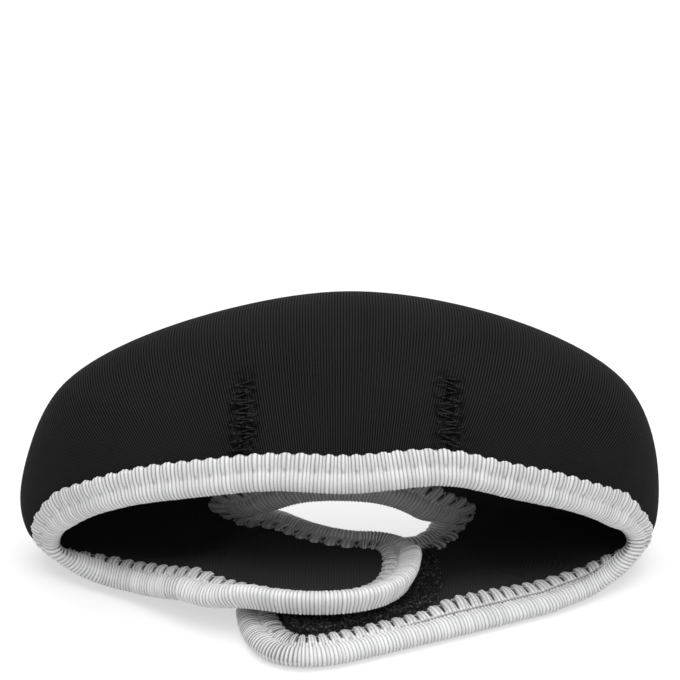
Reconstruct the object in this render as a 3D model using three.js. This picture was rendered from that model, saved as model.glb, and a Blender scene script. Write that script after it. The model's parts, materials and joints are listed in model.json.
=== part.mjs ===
// Wrap-round lens cover in soft neoprene, lying closed on a table with its wide mouth to the front.
// One crescent of laminated neoprene makes a domed crown. Its two ends run under the mouth as tabs
// that overlap and close with hook and loop. A ribbed binding folds over every edge.
// Millimetres, +Z up, +X to the right, +Y to the back. The origin is under the middle, on the table.
import * as THREE from "three";

// Neoprene laminate: a foam core between an outer knit face and a knit lining
const neopreneThickness = 3;
const knitThickness = 0.5;
const glueLine = 0.1;

// Binding tape folded over the edges
const tapeThickness = 1.1;
const tapeEdgeThickness = 0.6;
const tapeWidth = 7.6;
const rollWidth = 4;
const rollOverhang = 2.4;
const bindingClearance = 0.35;
const edgeClearance = 0.7;

// Mouth, the wide rim that goes over the lens
const mouthWidth = 146;
const mouthFoldHeight = 11;
const mouthFoldY = 55;
const mouthCrestHeight = 37.5;
const mouthCrestY = 33;

// Crown, the domed upper wall between the mouth and the hole
const crownHeight = 70;
const crownFrontPullY = 42;
const crownBackPullY = 112;
const shoulderWidth = 165;
const shoulderHeight = 48;
const shoulderBackPullY = 100;
const shoulderFrontDepth = 7;
const shoulderBackNarrowing = 10;

// Folds, where the crown turns under at each side, and the lower walls that run on to the tabs
const foldWallHeight = 9;
const foldFrontSpread = 16;
const foldFrontDepth = 18;
const foldBackSpread = 34;
const foldBackDepth = 15;
const lowerWallLift = 0.6;
const lowerFrontDepth = 12;
const lowerFrontLift = 1.7;
const lowerFrontAdvance = 8.5;
const leftLowFrontInset = 18;
const leftLowBackInset = 7;
const leftLowBackAdvance = 0.5;
const leftLowSpread = 4;
const leftLowDepth = 2;
const rightLowFrontInset = 9;
const rightLowBackInset = 4;
const rightLowBackAdvance = 2;
const rightLowBackLift = 1.5;
const rightLowSpread = 14;
const rightLowDepth = 3;

// Hole, the small bound opening behind the tabs
const holeWidth = 56;
const holeFoldHeight = 12;
const holeFoldY = 76;
const holeCrestHeight = 19;
const holeCrestY = 67;

// Tabs. Each root is the line where the tab bends away from the crown's lower wall.
const leftRootFrontX = -38;
const leftRootFrontY = 33;
const leftRootBackX = -14;
const leftRootBackY = 70;
const leftTabReach = 18;
const leftTabFrontY = 20;
const leftTabBackY = 59;
const rightRootFrontX = 52;
const rightRootFrontY = 38;
const rightRootBackX = 20;
const rightRootBackY = 69;
const rightTabReach = -23.5;
const rightTabFrontY = 13.5;
const rightTabBackY = 66;
const leftTabFrontCorner = 24;
const leftTabBackCorner = 13;
const rightTabFrontCorner = 27;
const rightTabBackCorner = 16;
const tabFrontSwing = 0.55;
const leftTabFrontBow = 5.8;
const rightTabFrontBow = 0.5;
const tabBackSwing = 0.5;
const tabBackBow = 0.1;
const hingeGap = 0.4;

// Hook and loop closure
const loopLength = 40.5;
const loopThickness = 1.4;
const hookLength = 30;
const hookThickness = 1.2;
const patchMargin = 1;
const closureGap = 0.4;

// Dart seams on the crown, closed with zigzag thread
const dartSpacing = 49;
const dartLength = 17;
const dartMargin = 1;
const dartWidth = 5;
const dartZigzags = 9;
const dartThreadDiameter = 0.7;

// Heights that follow from the stack of layers
const halfPanel = neopreneThickness / 2;
const halfSlot = halfPanel + bindingClearance;
const halfBinding = halfSlot + tapeThickness;
const halfTapeEdge = halfSlot + tapeEdgeThickness;
const rightTabHeight = halfBinding;
const loopTop = rightTabHeight + halfPanel + glueLine + loopThickness;
const leftTabHeight = loopTop + closureGap + halfBinding;
const lowerWallHeight = halfPanel + lowerWallLift;

const vec = (x, y, z) => new THREE.Vector3(x, y, z);

// The crown wall is a loft. Nine stations run from the left tab root, round the left fold, over
// the crown and round the right fold to the right tab root. Each station is a cubic curve from the
// mouth edge to the hole edge.
const mouthHalf = mouthWidth / 2;
const holeHalf = holeWidth / 2;
const shoulderHalf = shoulderWidth / 2;
const shoulderShare = 0.69;
const pullFor = (height, front, back) => (8 * height - front - back) / 6;

function archPoint(share, half, foldY, foldHeight, crestY, crestHeight) {
  const rise = 1 - Math.abs(share) ** 3;
  return vec(
    share * half,
    foldY + (crestY - foldY) * rise,
    foldHeight + (crestHeight - foldHeight) * rise,
  );
}

function straightStation(front, back) {
  return [front, front.clone().lerp(back, 1 / 3), front.clone().lerp(back, 2 / 3), back];
}

function lowerWallStation(front, back, spreadX, backY) {
  const pull = pullFor(lowerWallHeight, front.z, back.z);
  return [front, vec(front.x, front.y + lowerFrontDepth, pull), vec(spreadX, backY, pull), back];
}

function foldStation(side) {
  const front = vec(side * mouthHalf, mouthFoldY, mouthFoldHeight);
  const back = vec(side * holeHalf, holeFoldY, holeFoldHeight);
  const low = pullFor(foldWallHeight, front.z, back.z);
  return [
    front,
    vec(side * (mouthHalf + foldFrontSpread), mouthFoldY + foldFrontDepth, low),
    vec(side * (holeHalf + foldBackSpread), holeFoldY + foldBackDepth, low),
    back,
  ];
}

function shoulderStation(side) {
  const front = archPoint(
    side * shoulderShare, mouthHalf, mouthFoldY, mouthFoldHeight, mouthCrestY, mouthCrestHeight,
  );
  const back = archPoint(
    side * shoulderShare, holeHalf, holeFoldY, holeFoldHeight, holeCrestY, holeCrestHeight,
  );
  const pull = pullFor(shoulderHeight, front.z, back.z);
  return [
    front,
    vec(side * shoulderHalf, front.y + shoulderFrontDepth, pull),
    vec(side * (shoulderHalf - shoulderBackNarrowing), shoulderBackPullY, pull),
    back,
  ];
}

function crestStation() {
  const pull = pullFor(crownHeight, mouthCrestHeight, holeCrestHeight);
  return [
    vec(0, mouthCrestY, mouthCrestHeight),
    vec(0, crownFrontPullY, pull),
    vec(0, crownBackPullY, pull),
    vec(0, holeCrestY, holeCrestHeight),
  ];
}

const leftRootFront = vec(leftRootFrontX, leftRootFrontY, leftTabHeight);
const leftRootBack = vec(leftRootBackX, leftRootBackY, leftTabHeight);
const rightRootFront = vec(rightRootFrontX, rightRootFrontY, rightTabHeight);
const rightRootBack = vec(rightRootBackX, rightRootBackY, rightTabHeight);
const lowFrontY = mouthFoldY - lowerFrontAdvance;
const lowFrontHeight = halfBinding + lowerFrontLift;
const leftLowFront = vec(leftLowFrontInset - mouthHalf, lowFrontY, lowFrontHeight);
const leftLowBack = vec(leftLowBackInset - holeHalf, holeFoldY - leftLowBackAdvance, leftTabHeight);
const rightLowFront = vec(mouthHalf - rightLowFrontInset, lowFrontY, lowFrontHeight);
const rightLowBack = vec(
  holeHalf - rightLowBackInset, holeFoldY - rightLowBackAdvance, halfBinding + rightLowBackLift,
);

const stations = [
  straightStation(leftRootFront, leftRootBack),
  lowerWallStation(leftLowFront, leftLowBack, -holeHalf - leftLowSpread, holeFoldY + leftLowDepth),
  foldStation(-1),
  shoulderStation(-1),
  crestStation(),
  shoulderStation(1),
  foldStation(1),
  lowerWallStation(rightLowFront, rightLowBack, holeHalf + rightLowSpread, holeFoldY + rightLowDepth),
  straightStation(rightRootFront, rightRootBack),
];
const rails = [0, 1, 2, 3].map(
  (k) => new THREE.CatmullRomCurve3(stations.map((station) => station[k]), false, "centripetal"),
);

// A point on the wall's middle surface: u runs along the stations, t from mouth to hole
function wallPoint(u, t) {
  const [a, b, c, d] = rails.map((rail) => rail.getPoint(u));
  return new THREE.CubicBezierCurve3(a, b, c, d).getPoint(t);
}

const slopeStep = 1e-3;
function wallNormal(u, t) {
  if (u === 0 || u === 1) return vec(0, 0, -1);
  const alongU = wallPoint(Math.min(u + slopeStep, 1), t).sub(wallPoint(Math.max(u - slopeStep, 0), t));
  const alongT = wallPoint(u, Math.min(t + slopeStep, 1)).sub(wallPoint(u, Math.max(t - slopeStep, 0)));
  return alongU.cross(alongT).normalize();
}

// The wall as a grid of columns. Each column has rows at set distances from both edges, so that
// the binding and the layers under it share the same points.
const wallColumns = 48;
const innerRows = 7;
const edgeRows = [0, rollWidth, tapeWidth];
const profileSteps = 96;

function wallColumn(u) {
  const [a, b, c, d] = rails.map((rail) => rail.getPoint(u));
  const profile = new THREE.CubicBezierCurve3(a, b, c, d);
  profile.arcLengthDivisions = profileSteps;
  const length = profile.getLength();
  const distances = [...edgeRows];
  for (let k = 1; k <= innerRows; k++)
    distances.push(tapeWidth + ((length - 2 * tapeWidth) * k) / (innerRows + 1));
  distances.push(...edgeRows.map((row) => length - row).reverse());
  return distances.map((distance) => {
    const t = profile.getUtoTmapping(0, distance);
    return { point: profile.getPoint(t), normal: wallNormal(u, t) };
  });
}
const wallGrid = Array.from({ length: wallColumns + 1 }, (_, i) => wallColumn(i / wallColumns));

// A closed solid from rings of points: ring i is joined to ring i + 1, and both ends are capped.
// Where turned[k] is true, the quads after point k are split along their other diagonal, so that
// facing surfaces of neighbouring layers keep the same triangles.
function loftRings(rings, capFaces, turned) {
  const positions = rings.flatMap((ring) => ring.flatMap((p) => [p.x, p.y, p.z]));
  const count = rings[0].length;
  const index = [];
  for (let i = 0; i + 1 < rings.length; i++)
    for (let k = 0; k < count; k++) {
      const next = (k + 1) % count;
      const a = i * count + k;
      const b = i * count + next;
      const c = (i + 1) * count + next;
      const d = (i + 1) * count + k;
      if (turned[k]) index.push(a, b, d, b, c, d);
      else index.push(a, b, c, a, c, d);
    }
  const last = (rings.length - 1) * count;
  for (const [a, b, c] of capFaces) index.push(a, c, b, last + a, last + b, last + c);
  return outward(positions, index);
}

// Turns the faces of a closed triangle mesh outwards
function outward(positions, index) {
  let volume = 0;
  const corner = (k) => vec(positions[3 * k], positions[3 * k + 1], positions[3 * k + 2]);
  for (let i = 0; i < index.length; i += 3)
    volume += corner(index[i]).dot(corner(index[i + 1]).cross(corner(index[i + 2])));
  if (volume < 0)
    for (let i = 0; i < index.length; i += 3)
      [index[i + 1], index[i + 2]] = [index[i + 2], index[i + 1]];
  const geometry = new THREE.BufferGeometry();
  geometry.setAttribute("position", new THREE.Float32BufferAttribute(positions, 3));
  geometry.setIndex(index);
  geometry.computeVertexNormals();
  return geometry;
}

function capTriangles(section) {
  return THREE.ShapeUtils.triangulateShape(section, []);
}

// One layer of the wall, between two distances from the middle surface
function wallLayer(low, high) {
  const rows = wallGrid[0].length;
  const rings = wallGrid.map((column) => {
    const lower = column.map((cell) => cell.point.clone().addScaledVector(cell.normal, low));
    const upper = column.map((cell) => cell.point.clone().addScaledVector(cell.normal, high));
    return [...lower, ...upper.reverse()];
  });
  const cap = [];
  for (let k = 0; k + 1 < rows; k++) {
    const far = 2 * rows - 1 - k;
    cap.push([k, k + 1, far - 1], [k, far - 1, far]);
  }
  const turned = rings[0].map((_, k) => k >= rows);
  return loftRings(rings, cap, turned);
}

// Cross-section of the folded tape: inset from the panel edge, and distance from the panel's middle
const rollShoulder = 0.7;
const rollCorner = 0.75;
const bindingSection = [
  [tapeWidth, halfTapeEdge],
  [rollWidth, halfBinding],
  [0, halfBinding],
  [-rollShoulder * rollOverhang, rollCorner * halfBinding],
  [-rollOverhang, 0],
  [-rollShoulder * rollOverhang, -rollCorner * halfBinding],
  [0, -halfBinding],
  [rollWidth, -halfBinding],
  [tapeWidth, -halfTapeEdge],
  [tapeWidth, -halfSlot],
  [rollWidth, -halfSlot],
  [-edgeClearance, -halfSlot],
  [-edgeClearance, halfSlot],
  [rollWidth, halfSlot],
  [tapeWidth, halfSlot],
];
const bindingCap = capTriangles(bindingSection.map(([a, n]) => new THREE.Vector2(a, n)));

// Binding along the mouth edge, or along the hole edge when the columns are read from the back
function wallBinding(fromBack) {
  const columns = wallGrid.map((column) => (fromBack ? [...column].reverse() : column));
  const rings = columns.map((cells, i) => {
    const inward = cells[1].point.clone().sub(cells[0].point).normalize();
    if (i > 0 && i < wallColumns) {
      const along = columns[i + 1][0].point.clone().sub(columns[i - 1][0].point).normalize();
      inward.addScaledVector(along, -inward.dot(along)).normalize();
    }
    return bindingSection.map(([inset, offset]) => {
      const row = edgeRows.indexOf(inset);
      const cell = cells[Math.max(row, 0)];
      const point = cell.point.clone().addScaledVector(cell.normal, offset);
      return row < 0 ? point.addScaledVector(inward, inset) : point;
    });
  });
  const turned = bindingSection.map(([inset], k) => {
    const [nextInset] = bindingSection[(k + 1) % bindingSection.length];
    return nextInset < inset !== fromBack;
  });
  return loftRings(rings, bindingCap, turned);
}

const pointsPerCurve = 9;

// A tab outline: from the root's front end, round the free end, to the root's back end. The front
// corner starts in the direction in which the front edge ends.
function tabOutline(rootFront, rootBack, tab) {
  const { reach, frontY, backY, frontCorner, backCorner, frontBow } = tab;
  const direction = Math.sign(reach - (rootFront.x + rootBack.x) / 2);
  const frontEnd = reach - direction * frontCorner;
  const backEnd = reach - direction * backCorner;
  const frontX = rootFront.x + (frontEnd - rootFront.x) * tabFrontSwing;
  const guideY = rootFront.y + (frontY - rootFront.y) * tabFrontSwing - frontBow;
  const slope = (frontY - guideY) / (frontEnd - frontX);
  const path = new THREE.Path();
  path.moveTo(rootFront.x, rootFront.y);
  path.quadraticCurveTo(frontX, guideY, frontEnd, frontY);
  const cornerY = frontY + slope * direction * frontCorner;
  path.quadraticCurveTo(reach, cornerY, reach, frontY + frontCorner);
  path.lineTo(reach, backY - backCorner);
  path.quadraticCurveTo(reach, backY, backEnd, backY);
  const backX = rootBack.x + (backEnd - rootBack.x) * tabBackSwing;
  path.quadraticCurveTo(backX, backY + (rootBack.y - backY) * tabBackBow, rootBack.x, rootBack.y);
  return path.getPoints(pointsPerCurve);
}

// The outline's points with the direction into the tab, along the root line at both ends
function tabEdge(outline) {
  const first = outline[0];
  const last = outline[outline.length - 1];
  const rootLine = last.clone().sub(first).normalize();
  const turn = Math.sign(THREE.ShapeUtils.area(outline));
  const blendCount = 4;
  return outline.map((point, i) => {
    const before = outline[Math.max(i - 1, 0)];
    const after = outline[Math.min(i + 1, outline.length - 1)];
    const along = after.clone().sub(before).normalize();
    const inward = new THREE.Vector2(-along.y * turn, along.x * turn);
    const fromEnd = Math.min(i, outline.length - 1 - i);
    const square = Math.min(fromEnd / blendCount, 1);
    const root = rootLine.clone().multiplyScalar(i < outline.length / 2 ? 1 : -1);
    return { point, inward: root.lerp(inward, square).normalize() };
  });
}

function tabBinding(edge, height) {
  const rings = edge.map(({ point, inward }) =>
    bindingSection.map(([inset, offset]) =>
      vec(point.x + inset * inward.x, point.y + inset * inward.y, height + offset),
    ),
  );
  return loftRings(rings, bindingCap, []);
}

// A flat plate with a plan outline, between two heights
function plate(outline, low, high) {
  const geometry = new THREE.ExtrudeGeometry(new THREE.Shape(outline), {
    depth: high - low,
    bevelEnabled: false,
  });
  return geometry.translate(0, 0, low);
}

// The part of a plan outline on the far side of a line across it
function keepBeyond(outline, axis, distance) {
  const kept = [];
  outline.forEach((point, i) => {
    const next = outline[(i + 1) % outline.length];
    const here = point.dot(axis) - distance;
    const there = next.dot(axis) - distance;
    if (here >= 0) kept.push(point);
    if (here * there < 0) kept.push(point.clone().lerp(next, here / (here - there)));
  });
  return kept;
}

// A closure patch cut to the tab's free end, just inside the binding, with a square inner end
function patchOutline(edge, length) {
  const inset = edge.map(({ point, inward }) =>
    point.clone().addScaledVector(inward, tapeWidth + patchMargin),
  );
  const root = edge[0].point.clone().lerp(edge[edge.length - 1].point, 0.5);
  const end = edge[Math.floor(edge.length / 2)].point;
  const axis = end.clone().sub(root).normalize();
  const reach = Math.max(...inset.map((point) => point.dot(axis)));
  return keepBeyond(inset, axis, reach - length);
}

// The left shoulder is the first station whose mouth edge is above the fold
const leftShoulder = stations.findIndex(([front]) => front.z > mouthFoldHeight);
const shoulderStart = leftShoulder / (stations.length - 1);

// The place along the crown where the wall, a little above the mouth, is at a given x
function stationAt(x) {
  const dartHeightShare = 0.12;
  const halvings = 24;
  let low = shoulderStart;
  let high = 1 - shoulderStart;
  for (let k = 0; k < halvings; k++) {
    const middle = (low + high) / 2;
    if (wallPoint(middle, dartHeightShare).x < x) low = middle;
    else high = middle;
  }
  return low;
}

const stepsPerZigzag = 6;

// Zigzag thread over a dart, lying on the crown's outer face above the mouth binding
function dartThread(side) {
  const u = stationAt((side * dartSpacing) / 2);
  const profile = new THREE.CubicBezierCurve3(...rails.map((rail) => rail.getPoint(u)));
  const lift = halfPanel + dartThreadDiameter / 2 + glueLine;
  const points = [];
  for (let k = 0; k <= 2 * dartZigzags; k++) {
    const distance = tapeWidth + dartMargin + (dartLength * k) / (2 * dartZigzags);
    const t = profile.getUtoTmapping(0, distance);
    const across = wallPoint(u + slopeStep, t).sub(wallPoint(u - slopeStep, t)).normalize();
    const sway = ((k % 2 ? 1 : -1) * dartWidth) / 2;
    const point = wallPoint(u, t).addScaledVector(wallNormal(u, t), lift);
    points.push(point.addScaledVector(across, sway));
  }
  const thread = new THREE.Shape().absarc(0, 0, dartThreadDiameter / 2, 0, 2 * Math.PI);
  return new THREE.ExtrudeGeometry(thread, {
    steps: stepsPerZigzag * dartZigzags,
    curveSegments: 2,
    bevelEnabled: false,
    extrudePath: new THREE.CatmullRomCurve3(points),
  });
}

// Materials
const finish = (color, roughness) =>
  new THREE.MeshStandardMaterial({ color, roughness, metalness: 0 });
const knitFinish = finish(0x232323, 0.85);
const foamFinish = finish(0x2c2c2c, 0.9);
const liningFinish = finish(0x191919, 0.9);
const bindingFinish = finish(0xcdcdcd, 0.75);
const hookFinish = finish(0x1c1c1c, 0.6);
const loopFinish = finish(0x1e1e1e, 0.95);
const threadFinish = finish(0x141414, 0.6);

const cover = new THREE.Group();
function add(name, geometry, material) {
  const mesh = new THREE.Mesh(geometry, material);
  mesh.name = name;
  cover.add(mesh);
}

// Distances of each layer from the panel's middle: the outer face is on the positive side
const coreHalf = halfPanel - knitThickness - glueLine;
const layers = [
  ["face", halfPanel - knitThickness, halfPanel, knitFinish],
  ["core", -coreHalf, coreHalf, foamFinish],
  ["lining", -halfPanel, knitThickness - halfPanel, liningFinish],
];

// Crown wall
for (const [layer, low, high, material] of layers)
  add(`crown_${layer}`, wallLayer(low, high), material);
add("mouth_binding", wallBinding(false), bindingFinish);
add("hole_binding", wallBinding(true), bindingFinish);
add("left_dart_thread", dartThread(-1), threadFinish);
add("right_dart_thread", dartThread(1), threadFinish);

// Tabs. Their outer faces look down, and a gap at the root leaves room for the bend.
function addTab(name, rootFront, rootBack, tab) {
  const side = Math.sign(tab.reach - (rootFront.x + rootBack.x) / 2);
  const rootLine = rootBack.clone().sub(rootFront).normalize();
  const away = vec(rootLine.y * side, -rootLine.x * side, 0).multiplyScalar(hingeGap);
  const front = rootFront.clone().add(away);
  const back = rootBack.clone().add(away);
  const outline = tabOutline(front, back, tab);
  const edge = tabEdge(outline);
  const height = rootFront.z;
  for (const [layer, low, high, material] of layers)
    add(`${name}_${layer}`, plate(outline, height - high, height - low), material);
  add(`${name}_binding`, tabBinding(edge, height), bindingFinish);
  return edge;
}
const leftEdge = addTab("left_tab", leftRootFront, leftRootBack, {
  reach: leftTabReach,
  frontY: leftTabFrontY,
  backY: leftTabBackY,
  frontCorner: leftTabFrontCorner,
  backCorner: leftTabBackCorner,
  frontBow: leftTabFrontBow,
});
const rightEdge = addTab("right_tab", rightRootFront, rightRootBack, {
  reach: rightTabReach,
  frontY: rightTabFrontY,
  backY: rightTabBackY,
  frontCorner: rightTabFrontCorner,
  backCorner: rightTabBackCorner,
  frontBow: rightTabFrontBow,
});

// Closure patches: loop on the right tab's upper face, hook under the left tab
const loopLow = loopTop - loopThickness;
const hookHigh = leftTabHeight - halfPanel - glueLine;
add("loop_patch", plate(patchOutline(rightEdge, loopLength), loopLow, loopTop), loopFinish);
const hookLow = hookHigh - hookThickness;
add("hook_patch", plate(patchOutline(leftEdge, hookLength), hookLow, hookHigh), hookFinish);

// The origin sits under the middle of the cover, on the table
const bounds = new THREE.Box3().setFromObject(cover);
const middle = bounds.getCenter(new THREE.Vector3());
cover.position.set(-middle.x, -middle.y, -bounds.min.z);

const part = new THREE.Group();
part.add(cover);
export default part;
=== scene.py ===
# %% [markdown]
# # A soft lens cover
# The cover is one crescent of black neoprene. Its middle stands up as a dome, its two ends overlap
# under the mouth and close with hook and loop, and a pale ribbed tape is folded over every edge.
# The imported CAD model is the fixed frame: it says where each piece is and how the tabs swing.
# This lesson puts cloth on it. Sizes are in millimetres until a mesh is made.

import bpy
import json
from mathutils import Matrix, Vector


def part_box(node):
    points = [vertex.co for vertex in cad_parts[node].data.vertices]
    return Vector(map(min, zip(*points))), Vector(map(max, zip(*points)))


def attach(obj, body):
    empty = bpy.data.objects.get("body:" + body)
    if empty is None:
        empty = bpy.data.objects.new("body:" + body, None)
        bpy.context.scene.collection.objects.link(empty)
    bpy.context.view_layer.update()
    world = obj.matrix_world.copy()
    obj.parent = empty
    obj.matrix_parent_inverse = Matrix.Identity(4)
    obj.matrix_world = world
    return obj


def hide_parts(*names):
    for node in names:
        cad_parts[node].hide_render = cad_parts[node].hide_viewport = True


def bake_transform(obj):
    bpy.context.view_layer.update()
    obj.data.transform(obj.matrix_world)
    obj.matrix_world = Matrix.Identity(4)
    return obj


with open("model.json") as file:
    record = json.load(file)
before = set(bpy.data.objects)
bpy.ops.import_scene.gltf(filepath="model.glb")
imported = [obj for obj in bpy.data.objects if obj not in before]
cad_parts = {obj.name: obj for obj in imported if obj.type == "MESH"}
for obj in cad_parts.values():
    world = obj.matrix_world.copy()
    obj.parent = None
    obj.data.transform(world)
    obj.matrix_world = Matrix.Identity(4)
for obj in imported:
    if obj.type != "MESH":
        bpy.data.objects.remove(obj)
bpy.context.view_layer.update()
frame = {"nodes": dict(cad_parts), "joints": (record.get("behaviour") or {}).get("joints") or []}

# %% Libraries
import json
import math

import bmesh
import bpy
import numpy as np

MM = 0.001
scene = bpy.context.scene
scene.view_settings.view_transform = "Standard"
print("Blender", bpy.app.version_string)


def add_object(name, data):
    made = bpy.data.objects.new(name, data)
    scene.collection.objects.link(made)
    return made


# %% [markdown]
# ## Camera
# A photograph has a scale, a height of view and a distance. With these three the lens follows, and
# the camera needs no trial and error. The cover lies low in the picture, so the camera is tilted up
# a little instead of shifted, which keeps other views of the scene centred.

# %% Set up the camera
IMAGE_SIDE = 680
SENSOR_WIDTH = 36
MM_PER_PIXEL = 0.245
VIEW_HEIGHT = math.radians(25)
VIEW_DISTANCE = 650.0
LOOK_POINT = np.array([0.168, 4.272, 30.0])
LOOK_ROW = 481

focal_pixels = VIEW_DISTANCE / MM_PER_PIXEL
tilt = math.atan((LOOK_ROW - IMAGE_SIDE / 2) / focal_pixels)
retreat = np.array([0, -math.cos(VIEW_HEIGHT), math.sin(VIEW_HEIGHT)]) * VIEW_DISTANCE
camera_data = bpy.data.cameras.new("camera")
camera_data.sensor_width = SENSOR_WIDTH
camera_data.lens = SENSOR_WIDTH * focal_pixels / IMAGE_SIDE
camera = add_object("camera", camera_data)
camera.location = (LOOK_POINT + retreat) * MM
camera.rotation_euler = (math.pi / 2 - VIEW_HEIGHT + tilt, 0, 0)
scene.camera = camera
print(f"lens {camera_data.lens:.1f} mm, tilted up {math.degrees(tilt):.1f} degrees")

# %% [markdown]
# ## Writing nodes as expressions
# Node trees are hard to read as lists of links. A small class wraps a socket and gives it the
# ordinary operators, so that `1 - rib * 0.4` adds the Math nodes it needs. The same class serves
# shaders and Geometry Nodes, because both have the Math node.


# %% A socket that takes part in arithmetic
class Value:
    def __init__(self, net, socket):
        self.net = net
        self.socket = socket

    def __add__(self, other):
        return self.net.math("ADD", self, other)

    def __radd__(self, other):
        return self.net.math("ADD", other, self)

    def __sub__(self, other):
        return self.net.math("SUBTRACT", self, other)

    def __rsub__(self, other):
        return self.net.math("SUBTRACT", other, self)

    def __mul__(self, other):
        return self.net.math("MULTIPLY", self, other)

    def __rmul__(self, other):
        return self.net.math("MULTIPLY", other, self)

    def __truediv__(self, other):
        return self.net.math("DIVIDE", self, other)

    def __rtruediv__(self, other):
        return self.net.math("DIVIDE", other, self)

    def __pow__(self, other):
        return self.net.math("POWER", self, other)

    def __abs__(self):
        return self.net.math("ABSOLUTE", self)


# %% A tree that makes nodes
class Net:
    def __init__(self, tree):
        self.tree = tree

    def put(self, socket, value):
        if isinstance(value, Value):
            self.tree.links.new(value.socket, socket)
        else:
            socket.default_value = value

    def fill(self, node, inputs):
        for name, value in inputs.items():
            self.put(node.inputs[name], value)

    def node(self, kind, settings=None, inputs=None):
        made = self.tree.nodes.new(kind)
        for name, value in (settings or {}).items():
            setattr(made, name, value)
        self.fill(made, inputs or {})
        return made

    def get(self, kind, output, settings=None, inputs=None):
        return Value(self, self.node(kind, settings, inputs).outputs[output])

    def math(self, operation, first, second=None):
        inputs = {0: first} if second is None else {0: first, 1: second}
        return self.get("ShaderNodeMath", 0, {"operation": operation}, inputs)

    def wave(self, value, pitch):
        return abs(self.math("SINE", value * (math.pi / pitch)))

    def ease(self, value, start, end):
        inputs = {0: value, 1: start, 2: end, 3: 0.0, 4: 1.0}
        return self.get("ShaderNodeMapRange", 0, {"interpolation_type": "SMOOTHSTEP"}, inputs)

    def stretch(self, value, start, end, soft):
        return self.ease(value, start, start + soft) * (1 - self.ease(value, end - soft, end))

    def scaled(self, vector, factor):
        inputs = {0: vector, "Scale": factor}
        return self.get("ShaderNodeVectorMath", 0, {"operation": "SCALE"}, inputs)

    def total(self, first, second):
        return self.get("ShaderNodeVectorMath", 0, {"operation": "ADD"}, {0: first, 1: second})

    def blend(self, factor, first, second):
        inputs = {0: factor, 6: (*first, 1), 7: (*second, 1)}
        return self.get("ShaderNodeMix", 2, {"data_type": "RGBA"}, inputs)

    def noise(self, scale, detail=2.0):
        place = self.get("ShaderNodeTexCoord", "Object")
        inputs = {"Vector": place, "Scale": scale, "Detail": detail}
        return self.get("ShaderNodeTexNoise", 0, None, inputs)

    def bump(self, height, depth, strength):
        inputs = {"Height": height, "Distance": depth * MM, "Strength": strength}
        return self.get("ShaderNodeBump", 0, None, inputs)


# %% [markdown]
# ## Floor and light
# The cover was shot on a white sweep under a broad light from almost straight above, which is why
# the dome shades its own inside. A sun lamp with a wide angle gives that light the same strength
# everywhere, so the floor stays evenly white. The world fills the shadows a little, and it is plain
# white where the camera sees it. The floor throws light back as white paper does. For the camera part
# of that white is a glow, which leaves the shadow on the floor but makes it pale. Seen from below, the
# floor lets the view through.

# %% A new finish
CLOTH_GLOSS, FLOOR_GLOSS = 0.25, 0.5


def grey(level):
    return (level, level, level)


def new_finish(name, roughness, gloss=CLOTH_GLOSS):
    finish = bpy.data.materials.new(name)
    finish.use_nodes = True
    net = Net(finish.node_tree)
    shader = finish.node_tree.nodes["Principled BSDF"]
    net.fill(shader, {"Roughness": roughness, "Specular IOR Level": gloss})
    return finish, net, shader


def on_view(net):
    path = net.node("ShaderNodeLightPath")
    camera_ray, glossy, through = (
        Value(net, path.outputs[f"Is {kind} Ray"]) for kind in ("Camera", "Glossy", "Transmission")
    )
    return net.math("MAXIMUM", camera_ray, net.math("MAXIMUM", glossy, through))


# %% Floor
FLOOR_DROP = 0.3
FLOOR_HALF = 4.0
FLOOR_GREY, FLOOR_GLOW, FLOOR_WHITE = 0.4, 0.6, 0.78
FLOOR_ROUGHNESS = 0.9

corner_signs = ((-1, -1), (1, -1), (1, 1), (-1, 1))
floor_corners = [(x * FLOOR_HALF, y * FLOOR_HALF, -FLOOR_DROP * MM) for x, y in corner_signs]
floor_mesh = bpy.data.meshes.new("floor")
floor_mesh.from_pydata(floor_corners, [], [(0, 1, 2, 3)])
floor = add_object("floor", floor_mesh)

floor_finish, floor_net, floor_shader = new_finish("white sweep", FLOOR_ROUGHNESS, FLOOR_GLOSS)
floor_colour = floor_net.blend(on_view(floor_net), grey(FLOOR_WHITE), grey(FLOOR_GREY))
floor_net.put(floor_shader.inputs["Base Color"], floor_colour)
lit = Value(floor_net, floor_shader.outputs[0])
glow = floor_net.get("ShaderNodeEmission", 0, None, {"Strength": on_view(floor_net) * FLOOR_GLOW})
top = floor_net.get("ShaderNodeAddShader", 0, None, {0: lit, 1: glow})
clear = floor_net.get("ShaderNodeBsdfTransparent", 0)
underside = floor_net.get("ShaderNodeNewGeometry", "Backfacing")
sweep = floor_net.get("ShaderNodeMixShader", 0, None, {0: underside, 1: top, 2: clear})
floor_net.put(floor_finish.node_tree.nodes["Material Output"].inputs["Surface"], sweep)
floor_mesh.materials.append(floor_finish)
print("floor:", 2 * FLOOR_HALF, "m wide")

# %% Lamps and world
AMBIENT = 0.22
LAMPS = {
    "overhead": {"strength": 2.25, "height": 80, "turn": 0, "spread": 60},
    "front": {"strength": 0.7, "height": 48, "turn": 20, "spread": 50},
    "back": {"strength": 0.3, "height": 45, "turn": 170, "spread": 50},
}
for lamp_name, lamp in LAMPS.items():
    lamp_data = bpy.data.lights.new(lamp_name, "SUN")
    lamp_data.energy = lamp["strength"]
    lamp_data.angle = math.radians(lamp["spread"])
    lamp_object = add_object(lamp_name, lamp_data)
    lamp_object.rotation_euler = (math.radians(90 - lamp["height"]), 0, math.radians(lamp["turn"]))

world = bpy.data.worlds.new("studio")
world.use_nodes = True
world_net = Net(world.node_tree)
world_strength = AMBIENT + (1 - AMBIENT) * on_view(world_net)
world_net.fill(world.node_tree.nodes["Background"], {"Color": (1, 1, 1, 1), "Strength": world_strength})
scene.world = world
print("lamps:", ", ".join(LAMPS))

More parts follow.
